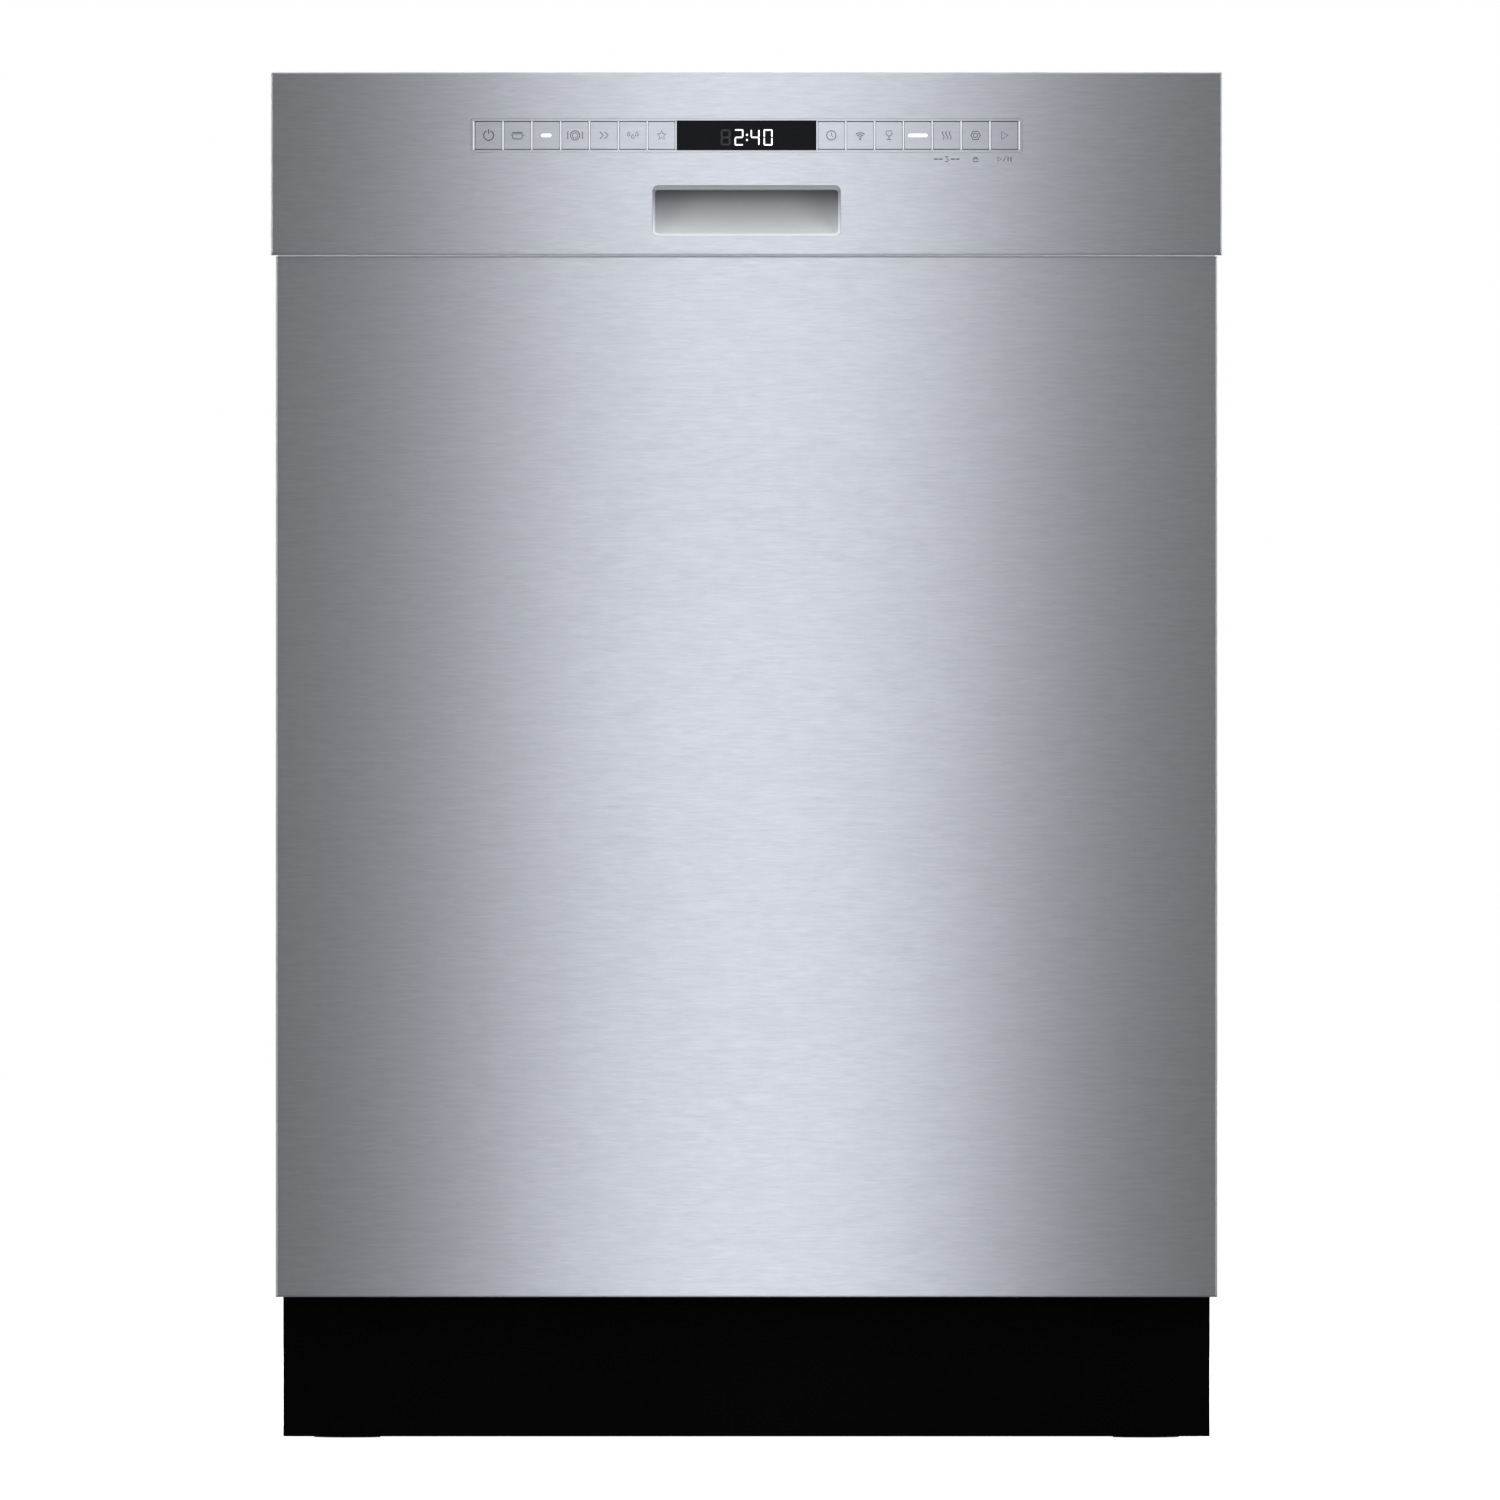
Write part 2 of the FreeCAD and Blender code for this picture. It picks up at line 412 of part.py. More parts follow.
# lower rack: five welded wire panels, tines, wheel axles
LX, LY0, LY1, LZ = 243.0, -206.0, 258.0, 180.0
xs = [-228 + 38 * i for i in range(13)]
ys = [-172 + 43 * i for i in range(11)]
floor_g = grille([rod((x, -180, LZ), (x, LY1 - 2.4, LZ), WIRE) for x in xs] + [rod((-240.6, y, LZ + 3.2), (240.6, y, LZ + 3.2), WIRE) for y in ys])
front_g = []
slant_g = []
for x in xs:
    front_g += [rod((x, LY0, LZ + 26.4), (x, LY0, 288), WIRE)]
    slant_g += [fuse([rod((x, -182, LZ + 2), (x, LY0, LZ + 24), WIRE), Part.makeSphere(WIRE, V(x, LY0, LZ + 24))])]
front_g += [rod((-238, LY0 - 3.2, 236), (238, LY0 - 3.2, 236), WIRE), rod((-238, LY0, 290), (238, LY0, 290), 2.6)]
front_g = grille(front_g)
back_g = grille([rod((x, LY1, LZ - 2), (x, LY1, 298), WIRE) for x in xs] + [rod((-238, LY1 + 3.2, 240), (238, LY1 + 3.2, 240), WIRE), rod((-238, LY1, 300), (238, LY1, 300), 2.6)])
side_g = grille([rod((LX, y, LZ + 1.2), (LX, y, 298), WIRE) for y in ys] + [rod((LX + 3.2, -200, 240), (LX + 3.2, 252, 240), WIRE), rod((LX, -200, 300), (LX, 252, 300), 2.6)])
solids = [floor_g, front_g, back_g, side_g, mirror_x(side_g)] + slant_g
TINE_X = [-224 + 30 * i for i in range(12)]
for y in (-135, -63, 9, 81):
    for x in TINE_X:
        if y > 70 or x < 112:
            solids.append(fuse([rod((x, y, LZ + 5.4), (x, y, 254), 1.7), Part.makeSphere(1.7, V(x, y, 254))]))
AX_Z = LEDGE_Z + 19.4
for y in (-100.0, 200.0):
    for sx in (-1, 1):
        ax = fuse([box(245.8, 248.6, y - 9, y + 9, 160, 236), cyl(3.0, (247, y, AX_Z), (1, 0, 0), 15)])
        solids.append(ax if sx > 0 else mirror_x(ax))
FOLD_Y, FOLD_Z = 150.0, 190.0
for x in (-205, 5, 215):
    clip = box(x - 3, x + 3, FOLD_Y - 5, FOLD_Y + 5, 185.3, 195.5).cut(cyl(2.06, (x - 5, FOLD_Y, FOLD_Z), (1, 0, 0), 10))
    solids.append(clip)
out("lower_rack", solids)

wheel = lambda y: fuse([cyl(19, (250.5, y, AX_Z), (1, 0, 0), 9.5)]).cut(cyl(3.06, (250, y, AX_Z), (1, 0, 0), 12)).cut(cyl(15, (257.5, y, AX_Z), (1, 0, 0), 5).cut(cyl(7, (257, y, AX_Z), (1, 0, 0), 6)))
for nm, y in (("lower_rack_front_wheels", -100.0), ("lower_rack_rear_wheels", 200.0)):
    w = wheel(y)
    out(nm, [w, mirror_x(w)])

ft_rods = [rod((-232, FOLD_Y, FOLD_Z), (232, FOLD_Y, FOLD_Z), 2.0)]
for i in range(15):
    x = -217 + 31 * i
    if min(abs(x + 205), abs(x - 5), abs(x - 215)) > 6:
        ft_rods += [rod((x, FOLD_Y, FOLD_Z), (x, FOLD_Y, FOLD_Z + 62), 1.7), Part.makeSphere(1.7, V(x, FOLD_Y, FOLD_Z + 62))]
out("fold_down_tines", fuse(ft_rods))

# cutlery basket: six wells in two rows
BX0, BX1, BY0, BY1, BZ0, BZ1 = 126.0, 234.0, -166.0, 58.0, 186.0, 304.0
cb = rrect_z(BX0, BX1, BY0, BY1, BZ0, BZ1, 8)
wells = []
nx, ny, t = 2, 3, 2.4
wx, wy = (BX1 - BX0 - t * (nx + 1)) / nx, (BY1 - BY0 - t * (ny + 1)) / ny
WELLS = []
for i in range(nx):
    for j in range(ny):
        x0, y0 = BX0 + t + i * (wx + t), BY0 + t + j * (wy + t)
        wells.append(rrect_z(x0, x0 + wx, y0, y0 + wy, BZ0 + 2.4, BZ1 + 10, 6))
        WELLS.append((x0, x0 + wx, y0, y0 + wy))
cb = cut(cb, wells)
hx = (BX0 + BX1) / 2
cb = fuse([cb, box(hx - 1.2, hx + 1.2, BY0 + 60, BY0 + 70, BZ1 - 2, BZ1 + 34), box(hx - 1.2, hx + 1.2, BY1 - 70, BY1 - 60, BZ1 - 2, BZ1 + 34), box(hx - 4, hx + 4, BY0 + 60, BY1 - 60, BZ1 + 30, BZ1 + 40)])
out("cutlery_basket", cb)

# upper rack: wire panels, tines, rail glides
UZ = 507.0
UY0, UY1 = -200.0, 252.0
uxs = [-225 + 37.5 * i for i in range(13)]
uys = [-168 + 41 * i for i in range(11)]
ufloor = grille([rod((x, UY0 + 2.4, UZ), (x, UY1 - 2.4, UZ), WIRE) for x in uxs] + [rod((-237.6, y, UZ + 3.2), (237.6, y, UZ + 3.2), WIRE) for y in uys])
ufront = grille([rod((x, UY0, UZ - 2), (x, UY0, 596), WIRE) for x in uxs] + [rod((-234, UY0 - 3.2, 552), (234, UY0 - 3.2, 552), WIRE), rod((-234, UY0, 598), (234, UY0, 598), 2.6)])
uback = grille([rod((x, UY1, UZ - 2), (x, UY1, 610), WIRE) for x in uxs] + [rod((-234, UY1 + 3.2, 560), (234, UY1 + 3.2, 560), WIRE), rod((-234, UY1, 612), (234, UY1, 612), 2.6)])
uside = grille([rod((240, y, UZ + 1.2), (240, y, 610), WIRE) for y in uys] + [rod((243.2, -194, 560), (243.2, 246, 560), WIRE), rod((240, -194, 612), (240, 246, 612), 2.6)])
solids = [ufloor, ufront, uback, uside, mirror_x(uside)]
for x in (-150, -75, 75, 150):
    for j in range(12):
        y = -160 + 34 * j
        solids.append(fuse([rod((x, y, UZ + 5.4), (x, y, 566), 1.6), Part.makeSphere(1.6, V(x, y, 566))]))
for y in (-125.0, 215.0):
    for sx in (-1, 1):
        gl = [box(242.8, 246.6, y - 12, y + 12, 566, 611), box(246.6, 255.8, y - 6, y + 6, 598, 606), rrect_z(255.8, 261.9, y - 14, y + 14, 592, 612, 2)]
        solids += gl if sx > 0 else [mirror_x(q) for q in gl]
out("upper_rack", solids)

# upper rack's water pipe with the arm's spindle
up = fuse([box(-12, 12, UHUB[1], 244, 488.5, 503), cyl(26, (0, UHUB[1], 488), (0, 0, 1), 15), cyl(8.0, (0, UHUB[1], 472), (0, 0, 1), 18), cyl(13, (0, UHUB[1], 468), (0, 0, 1), 6.6), cyl(9.2, (0, 240, 495.5), (0, 1, 0), 19)])
up = up.cut(cyl(6.5, (0, 246, 495.5), (0, 1, 0), 15))
out("upper_rack_pipe", up)

# telescopic rails, left and right
def rail():
    r = box(255.5, 264, -206, 250, 590, 614).cut(box(254, 262.5, -207, 260, 591.5, 612.5))
    return r.cut(box(254, 262.6, 249, 251, 580, 620))


r1 = rail()
out("upper_rack_rails", [r1, mirror_x(r1)])

# ================================================================ door
# ---- outer skin: folded tray
skin = box(-DOOR_HALF_W, DOOR_HALF_W, DOOR_Y, -278.2, DOOR_Z0, DOOR_Z1)
front_edges = [e for e in skin.Edges if abs(e.Vertexes[0].Point.y - DOOR_Y) < 1e-6 and abs(e.Vertexes[1].Point.y - DOOR_Y) < 1e-6]
skin = skin.makeFillet(1.4, front_edges)
skin = skin.cut(box(-DOOR_HALF_W + SHEET, DOOR_HALF_W - SHEET, DOOR_Y + SHEET, -270, DOOR_Z0 + SHEET, DOOR_Z1 - SHEET))
skin = fuse([skin, box(-282.5, 282.5, -279.4, -278.2, DOOR_Z0 + 0.5, 112.8)])
out("door_panel", skin)

# ---- fascia: folded tray with openings for the key strip and the grip
fas = box(-HALF_W, HALF_W, Y_FRONT, -262.2, FASCIA_Z0, HEIGHT)
front_edges = [e for e in fas.Edges if abs(e.Vertexes[0].Point.y - Y_FRONT) < 1e-6 and abs(e.Vertexes[1].Point.y - Y_FRONT) < 1e-6]
fas = fas.makeFillet(1.4, front_edges)
fas = fas.cut(box(-HALF_W + SHEET, HALF_W - SHEET, Y_FRONT + SHEET, -250, FASCIA_Z0 + SHEET, HEIGHT - SHEET))
fas = fas.cut(rrect_y(-STRIP_HALF_W, STRIP_HALF_W, STRIP_Z0, STRIP_Z1, -310, -290, 1.6))
fas = fas.cut(rrect_y(-POCKET_HALF_W - 1.6, POCKET_HALF_W + 1.6, POCKET_Z0 - 1.6, POCKET_Z1 + POCKET_LIP + 0.1, -310, -290, 3.7))
fas = fas.cut(box(-300, 300, -278, -262, FASCIA_Z0 - 1, FASCIA_Z0 + 3))
out("control_fascia", fas)

# ---- grip pocket: moulded scoop whose upper part reaches up behind the fascia
def scoop(x0, x1, g, front):
    p0, p1 = POCKET_Z0, POCKET_Z1
    r = SCOOP_R + g

    def on_arc(z):
        return V(x0, SCOOP_Y + math.sqrt(r * r - (SCOOP_Z - z) ** 2), z)

    a = V(x0, front, p0 - g)
    b, m, d = on_arc(p0 - g), on_arc((p0 + p1) / 2), on_arc(p1 + 12 + g)
    e = V(x0, -291 - g, p1 + 12 + g)
    f = V(x0, -291 - g, p1 + g)
    h = V(x0, front, p1 + g)
    edges = [Part.LineSegment(a, b).toShape(), Part.Arc(b, m, d).toShape(), Part.LineSegment(d, e).toShape(), Part.LineSegment(e, f).toShape(), Part.LineSegment(f, h).toShape(), Part.LineSegment(h, a).toShape()]
    return Part.Face(Part.Wire(edges)).extrude(V(x1 - x0, 0, 0))


MW, MZ0, MZ1 = POCKET_HALF_W, POCKET_Z0, POCKET_Z1
mouth = rrect_y(-MW - 1.5, MW + 1.5, MZ0 - 1.5, MZ1 + POCKET_LIP, -301.1, -299.2, 3.6)
pk = fuse([mouth, scoop(-MW - 1.5, MW + 1.5, 1.5, -299.7)])
pk = cut(pk, [rrect_y(-MW, MW, MZ0, MZ1, -303, -299.0, 2.4), scoop(-MW, MW, 0.0, -299.2)])
out("grip_pocket", pk)

# ---- control module: moulded back box and circuit board
cm = box(-297.6, 297.6, -300.2, -260.2, 746.4, 858.6).cut(box(-295.6, 295.6, -301, -262.2, 748.4, 856.6))
cm = cm.cut(box(-300, 300, -301, -277.6, 740, 748.5)).cut(box(-284.5, 284.5, -278.6, -240, 740, 838.6))
cm = fuse([cm, box(-296, 296, -281, -279, 748.4, 857)]).cut(box(-62, 62, -290, -270, 752, 810))
for cx in (-230, -200, 200, 230):
    cm = fuse([cm, cyl(4, (cx, -298.8, 790), (0, 1, 0), 18.2)]).cut(cyl(1.6, (cx, -299.5, 790), (0, 1, 0), 14))
board = box(-168, 168, -287, -285.4, 808, 834)
posts = []
for cx in (-230, -200, 200, 230):
    posts += [c for c in cm.common(cyl(4.01, (cx, -298.8, 790), (0, 1, 0), 17.7)).Solids]
    cm = cm.cut(cyl(4.01, (cx, -299.2, 790), (0, 1, 0), 18.19))
mcells = tile(cm, (-300, 300), (-301, -250), (856.6, 860))
mcells += tile(cm, (-300, -295.6), (-301, -250), (740, 856.6)) + tile(cm, (295.6, 300), (-301, -250), (740, 856.6))
mcells += tile(cm, (-295.6, -284.5, 284.5, 295.6), (-262.2, -250), (740, 838.6, 856.6))
mcells += tile(cm, (-295.6, -62, 62, 295.6), (-281, -279), (740, 752, 810, 856.6))
rest = cm.cut(Part.makeCompound(mcells))
mcells += tile(rest, (-295.6, -62, 62, 295.6), (-301, -281, -279, -262.2, -250), (740, 748.5, 752, 810, 838.6, 856.6))
print("control_module", round(cm.Volume), round(sum(c.Volume for c in mcells)), len(mcells), [[round(v) for v in (c.BoundBox.XMin, c.BoundBox.XMax, c.BoundBox.YMin, c.BoundBox.YMax, c.BoundBox.ZMin, c.BoundBox.ZMax)] for c in mcells])
out("control_module", mcells + posts + [board])

# ---- key strip: frame with key windows
strip = rrect_y(-STRIP_HALF_W + 0.1, STRIP_HALF_W - 0.1, STRIP_Z0 + 0.1, STRIP_Z1 - 0.1, -301.4, -296.5, 1.5)
wins, KEYS = [], []
for side in (-1, 1):
    for i in range(7):
        a = side * (CELL_START + CELL * i)
        b = side * (CELL_START + CELL * (i + 1))
        x0, x1 = min(a, b) + 0.55, max(a, b) - 0.55
        wins.append(box(x0, x1, -303, -295, KEY_Z0, KEY_Z1))
        KEYS.append((x0, x1))
wins.append(box(-CELL_START + 0.4, CELL_START - 0.4, -303, -295, KEY_Z0 - 0.4, KEY_Z1 + 0.4))
strip = cut(strip, wins)
out("key_strip", strip)

win = box(-CELL_START + 0.5, CELL_START - 0.5, -301.2, -297.5, KEY_Z0 - 0.3, KEY_Z1 + 0.3)
out("display_window", win)

KEYS.sort()
KEY_NAMES = ["key_power", "key_program_1", "key_program_2", "key_program_3", "key_program_4", "key_program_5", "key_program_6",
             "key_delay", "key_option_1", "key_option_2", "key_option_3", "key_option_4", "key_option_5", "key_start"]
for (x0, x1), nm in zip(KEYS, KEY_NAMES):
    xc, zc = (x0 + x1) / 2, (KEY_Z0 + KEY_Z1) / 2
    k = rrect_y(x0 + 0.2, x1 - 0.2, KEY_Z0 + 0.5, KEY_Z1 - 0.5, -301.2, -297.0, 0.6)
    k = fuse([k, cyl(2.0, (xc, -297.5, zc), (0, 1, 0), 8.5)])
    out(nm, k)

# ---- inner liner: pressed pan with a raised centre and the dispenser's opening
DX0, DX1, DZ0, DZ1 = -70.0, 70.0, 334.0, 462.0
lo = fuse([box(-284, 284, -278, LINER_Y, 113, 838), rrect_y(-258, 258, 152, 812, -250, LINER_RAISED_Y, 28)])
li = fuse([box(-284 + SHEET, 284 - SHEET, -279, LINER_Y - SHEET, 113 + SHEET, 838 - SHEET), rrect_y(-258 + SHEET, 258 - SHEET, 152 + SHEET, 812 - SHEET, -250, LINER_RAISED_Y - SHEET, 28 - SHEET)])
liner = lo.cut(li).cut(rrect_y(DX0, DX1, DZ0, DZ1, -260, -220, 8))
out("inner_door_liner", liner)

# ---- detergent dispenser: body, cup, lid, rinse-aid cap
db = fuse([rrect_y(DX0 + 0.3, DX1 - 0.3, DZ0 + 0.3, DZ1 - 0.3, -266, -229, 7.7), rrect_y(DX0 - 6, DX1 + 6, DZ0 - 6, DZ1 + 6, LINER_RAISED_Y, -229, 12)])
db = db.cut(rrect_y(-60, 12, 346, 430, -260, -220, 8))
db = db.cut(rrect_y(-64.6, 16.6, 342.4, 440, -229.9, -220, 5)).cut(box(-64.6, 16.6, -229.9, -220, 430, 440.2))
db = db.cut(cyl(18.2, (43, -236, 390), (0, 1, 0), 20)).cut(box(24.6, 61.4, -232.0, -220, 390, 412))
pin = cyl(1.6, (-70, -226.6, 437), (1, 0, 0), 92)
ears = [box(-68.6, -65.0, -230, -224.6, 434, 440), box(17.0, 20.6, -230, -224.6, 434, 440)]
db = fuse([db] + ears).cut(cyl(1.5, (-75, -226.6, 437), (1, 0, 0), 110))
pin2_z = 410.0
ears2 = [box(24.7, 27.0, -232.2, -226.8, 407.4, 412.6), box(59.0, 61.3, -232.2, -226.8, 407.4, 412.6)]
db = fuse([db] + ears2).cut(cyl(1.2, (22, -229.2, pin2_z), (1, 0, 0), 44))
out("dispenser_body", db)
lid = fuse([rrect_y(-63.5, 15.5, 343.5, 433, -229.4, -226.4, 4), box(-64.4, 16.4, -228.2, -225.0, 430, 437), cyl(2.6, (-64.4, -226.6, 437), (1, 0, 0), 80.8), box(-34, -14, -226.6, -224.6, 346, 352)])
lid = lid.cut(box(-65, 17, -232, -228.3, 433.2, 441))
lid = fuse([lid, cyl(1.43, (-68.4, -226.6, 437), (1, 0, 0), 88.8)])
out("detergent_lid", lid)
cap = fuse([cyl(17.4, (43, -233.0, 390), (0, 1, 0), 5.2), box(36, 50, -229.6, -227.8, 398, 410), cyl(1.9, (27.4, -229.2, pin2_z), (1, 0, 0), 31.2), cyl(1.13, (24.8, -229.2, pin2_z), (1, 0, 0), 36.4), box(38, 48, -228, -226.4, 373.5, 378)])
out("rinse_aid_cap", cap)

# ---- hinge arms: flat steel arms on the door's sides, crank pin for the spring rod
def hinge_arm():
    s = fuse([box(284.05, 287, -275, -250, 118, 330), cyl(13, (284.05, PIVOT_Y, PIVOT_Z), (1, 0, 0), 2.95)])
    y, z = CR
    s = fuse([s, cyl(7, (284.05, y, z), (1, 0, 0), 2.95), prism([(284.05, PIVOT_Y - 5, PIVOT_Z + 12), (284.05, PIVOT_Y + 10, PIVOT_Z - 8), (284.05, y + 5, z - 5), (284.05, y - 5, z + 5)], (2.95, 0, 0))])
    s = fuse([s, cyl(3.0, (284.05, y, z), (1, 0, 0), 6.0)])
    s = s.cut(cyl(4.08, (280, PIVOT_Y, PIVOT_Z), (1, 0, 0), 12))
    for zz in (180, 240, 300):
        s = s.cut(cyl(2.6, (283, -262, zz), (1, 0, 0), 6))
    return s


ha = hinge_arm()
out("hinge_arms", [ha, mirror_x(ha)])

# ---- latch housing above the liner
latch = box(-32, 32, -260.1, -247.2, 838.4, 856).cut(box(-12, 12, -256, -240, 840, 852.5))
out("door_latch", latch)

total = sum(n[2] for n in NAMES)
print(len(NAMES), "nodes", round(total / 1e6, 3), "litres")
print("wells", [[round(v, 1) for v in w] for w in WELLS])
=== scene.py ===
import bpy
import bmesh
import json
import math
import random
import numpy as np
from mathutils import Matrix, Vector, noise

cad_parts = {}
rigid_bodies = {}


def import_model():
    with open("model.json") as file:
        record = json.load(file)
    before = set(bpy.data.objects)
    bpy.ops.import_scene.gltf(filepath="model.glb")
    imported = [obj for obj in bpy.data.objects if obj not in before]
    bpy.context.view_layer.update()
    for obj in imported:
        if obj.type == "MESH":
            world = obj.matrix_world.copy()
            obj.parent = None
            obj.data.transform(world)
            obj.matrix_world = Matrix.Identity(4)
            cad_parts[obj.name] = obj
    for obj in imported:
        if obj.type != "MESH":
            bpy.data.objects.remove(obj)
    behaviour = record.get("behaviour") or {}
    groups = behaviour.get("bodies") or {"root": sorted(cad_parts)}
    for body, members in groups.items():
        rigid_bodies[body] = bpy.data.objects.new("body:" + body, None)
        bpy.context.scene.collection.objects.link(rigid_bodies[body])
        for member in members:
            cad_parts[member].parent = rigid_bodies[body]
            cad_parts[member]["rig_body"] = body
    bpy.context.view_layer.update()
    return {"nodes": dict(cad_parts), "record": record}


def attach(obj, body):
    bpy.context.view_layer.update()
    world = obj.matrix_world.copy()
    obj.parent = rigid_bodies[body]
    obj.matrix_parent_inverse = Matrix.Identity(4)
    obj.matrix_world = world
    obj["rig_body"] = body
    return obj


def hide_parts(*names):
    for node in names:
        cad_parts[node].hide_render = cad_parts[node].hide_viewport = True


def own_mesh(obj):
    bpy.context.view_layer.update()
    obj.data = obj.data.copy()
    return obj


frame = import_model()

R = random.Random(7)
SC = bpy.context.scene
NODES = frame["nodes"]
MM = 0.001


# ============================================================ materials
class Mat:
    """A node material with one Principled shader and a few shorthand calls."""

    def __init__(self, name, color=(0.5, 0.5, 0.5), metallic=0.0, rough=0.5, **sockets):
        self.m = bpy.data.materials.new(name)
        self.m.use_nodes = True
        self.nt = self.m.node_tree
        self.b = self.nt.nodes["Principled BSDF"]
        self.b.inputs["Base Color"].default_value = (*color, 1)
        self.b.inputs["Metallic"].default_value = metallic
        self.b.inputs["Roughness"].default_value = rough
        for k, v in sockets.items():
            self.b.inputs[k.replace("_", " ")].default_value = v
        self.color = color
        self.rough = rough
        self.co = self.n("ShaderNodeTexCoord").outputs["Object"]
        self.height = None

    def n(self, kind, **props):
        node = self.nt.nodes.new(kind)
        for k, v in props.items():
            setattr(node, k, v)
        return node

    def link(self, a, b):
        self.nt.links.new(a, b)

    def mapped(self, scale, rot=(0, 0, 0), loc=(0, 0, 0)):
        mp = self.n("ShaderNodeMapping")
        mp.inputs["Scale"].default_value = scale
        mp.inputs["Rotation"].default_value = rot
        mp.inputs["Location"].default_value = loc
        self.link(self.co, mp.inputs["Vector"])
        return mp.outputs["Vector"]

    def noise(self, scale, detail=2.0, vec=None, rough=0.5, dist=0.0):
        t = self.n("ShaderNodeTexNoise")
        t.inputs["Scale"].default_value = scale
        t.inputs["Detail"].default_value = detail
        t.inputs["Roughness"].default_value = rough
        t.inputs["Distortion"].default_value = dist
        self.link(vec if vec is not None else self.co, t.inputs["Vector"])
        return t.outputs["Fac"]

    def voronoi(self, scale, vec=None, feature="F1", out="Distance", rnd=1.0):
        t = self.n("ShaderNodeTexVoronoi", feature=feature)
        t.inputs["Scale"].default_value = scale
        t.inputs["Randomness"].default_value = rnd
        self.link(vec if vec is not None else self.co, t.inputs["Vector"])
        return t.outputs[out]

    def range(self, src, lo, hi, a=0.0, b=1.0):
        r = self.n("ShaderNodeMapRange")
        r.inputs["From Min"].default_value = lo
        r.inputs["From Max"].default_value = hi
        r.inputs["To Min"].default_value = a
        r.inputs["To Max"].default_value = b
        self.link(src, r.inputs["Value"])
        return r.outputs["Result"]

    def math(self, op, a, b):
        r = self.n("ShaderNodeMath", operation=op)
        for i, v in enumerate((a, b)):
            if isinstance(v, (int, float)):
                r.inputs[i].default_value = v
            else:
                self.link(v, r.inputs[i])
        return r.outputs[0]

    def mix(self, fac, a, b):
        r = self.n("ShaderNodeMix", data_type="RGBA")
        self.link(fac, r.inputs["Factor"])
        for key, v in ((6, a), (7, b)):
            if isinstance(v, tuple):
                r.inputs[key].default_value = (*v, 1)
            else:
                self.link(v, r.inputs[key])
        return r.outputs[2]

    def shade(self, src, spread, lo=0.3, hi=0.7):
        """Colour varies around the base colour by that share, driven by src."""
        a = tuple(c * (1 - spread) for c in self.color)
        b = tuple(min(1, c * (1 + spread)) for c in self.color)
        return self.mix(self.range(src, lo, hi), a, b)

    def set_color(self, out):
        self.link(out, self.b.inputs["Base Color"])

    def set_rough(self, out):
        self.link(out, self.b.inputs["Roughness"])

    def bump(self, src, distance, strength=1.0):
        bp = self.n("ShaderNodeBump")
        bp.inputs["Strength"].default_value = strength
        bp.inputs["Distance"].default_value = distance
        self.link(src, bp.inputs["Height"])
        if self.height is not None:
            self.link(self.height, bp.inputs["Normal"])
        self.height = bp.outputs["Normal"]
        self.link(self.height, self.b.inputs["Normal"])

    def tangent(self, axis):
        t = self.n("ShaderNodeTangent", direction_type="RADIAL", axis=axis)
        self.link(t.outputs["Tangent"], self.b.inputs["Tangent"])


MATS = {}


def brushed(name, color, rough, aniso, stretch, fine, streak=0.05, tangent="X", bump=0.00002, rvar=0.05, metal=1.0):
    """Brushed sheet metal: long fine streaks along the scratch direction, faint wide bands, broad highlight across."""
    k = Mat(name, color, metal, rough, Anisotropic=aniso)
    v = k.mapped(tuple(stretch))
    s1 = k.noise(1.0, 3.0, v, 0.65)
    v2 = k.mapped(tuple(x * fine for x in stretch), loc=(3.1, 1.7, 5.3))
    s2 = k.noise(1.0, 2.0, v2, 0.6)
    band = k.noise(2.2, 2.0)
    mixed = k.math("ADD", k.math("MULTIPLY", s1, 0.6), k.math("MULTIPLY", s2, 0.4))
    k.set_color(k.mix(k.range(mixed, 0.36, 0.64), tuple(c * (1 - streak) for c in color), tuple(min(1, c * (1 + streak)) for c in color)))
    rr = k.math("ADD", k.range(mixed, 0.3, 0.7, rough - rvar * 0.5, rough + rvar * 0.5), k.range(band, 0.3, 0.7, -rvar * 0.3, rvar * 0.3))
    k.set_rough(rr)
    k.bump(mixed, bump, 0.6)
    if tangent:
        k.tangent(tangent)
    MATS[name] = k.m
    return k


def moulded(name, color, rough, grain=2600.0, depth=0.00003, vary=0.06, spec=0.5, cloud=14.0, **sockets):
    """Moulded plastic: fine spark-eroded grain, a little cloudiness in colour and gloss."""
    k = Mat(name, color, 0.0, rough, **sockets)
    k.b.inputs["Specular IOR Level"].default_value = spec
    c = k.noise(cloud, 3.0)
    k.set_color(k.shade(c, vary))
    g = k.noise(grain, 2.0)
    k.set_rough(k.math("ADD", k.range(c, 0.3, 0.7, rough - 0.04, rough + 0.04), k.range(g, 0.3, 0.7, -0.03, 0.03)))
    if depth:
        k.bump(g, depth, 0.5)
    MATS[name] = k.m
    return k


ROUGH_DOOR, ANISO_DOOR = 0.475, 0.9
brushed("door_steel", (0.60, 0.61, 0.628), ROUGH_DOOR, ANISO_DOOR, (62.0, 62.0, 700.0), 1.6, streak=0.054, tangent="X", bump=0.000003, rvar=-0.045)
brushed("key_plastic", (0.585, 0.595, 0.615), ROUGH_DOOR, ANISO_DOOR, (62.0, 62.0, 700.0), 1.6, streak=0.035, tangent="X", bump=0.000003, rvar=-0.03)
brushed("strip_plastic", (0.60, 0.61, 0.63), ROUGH_DOOR, ANISO_DOOR, (62.0, 62.0, 700.0), 1.6, streak=0.035, tangent="X", bump=0.000003, rvar=-0.03)
brushed("door_side", (0.50, 0.51, 0.525), 0.42, 0.0, (60.0, 60.0, 60.0), 2.0, streak=0.03, tangent=None, bump=0.00001, metal=0.75)
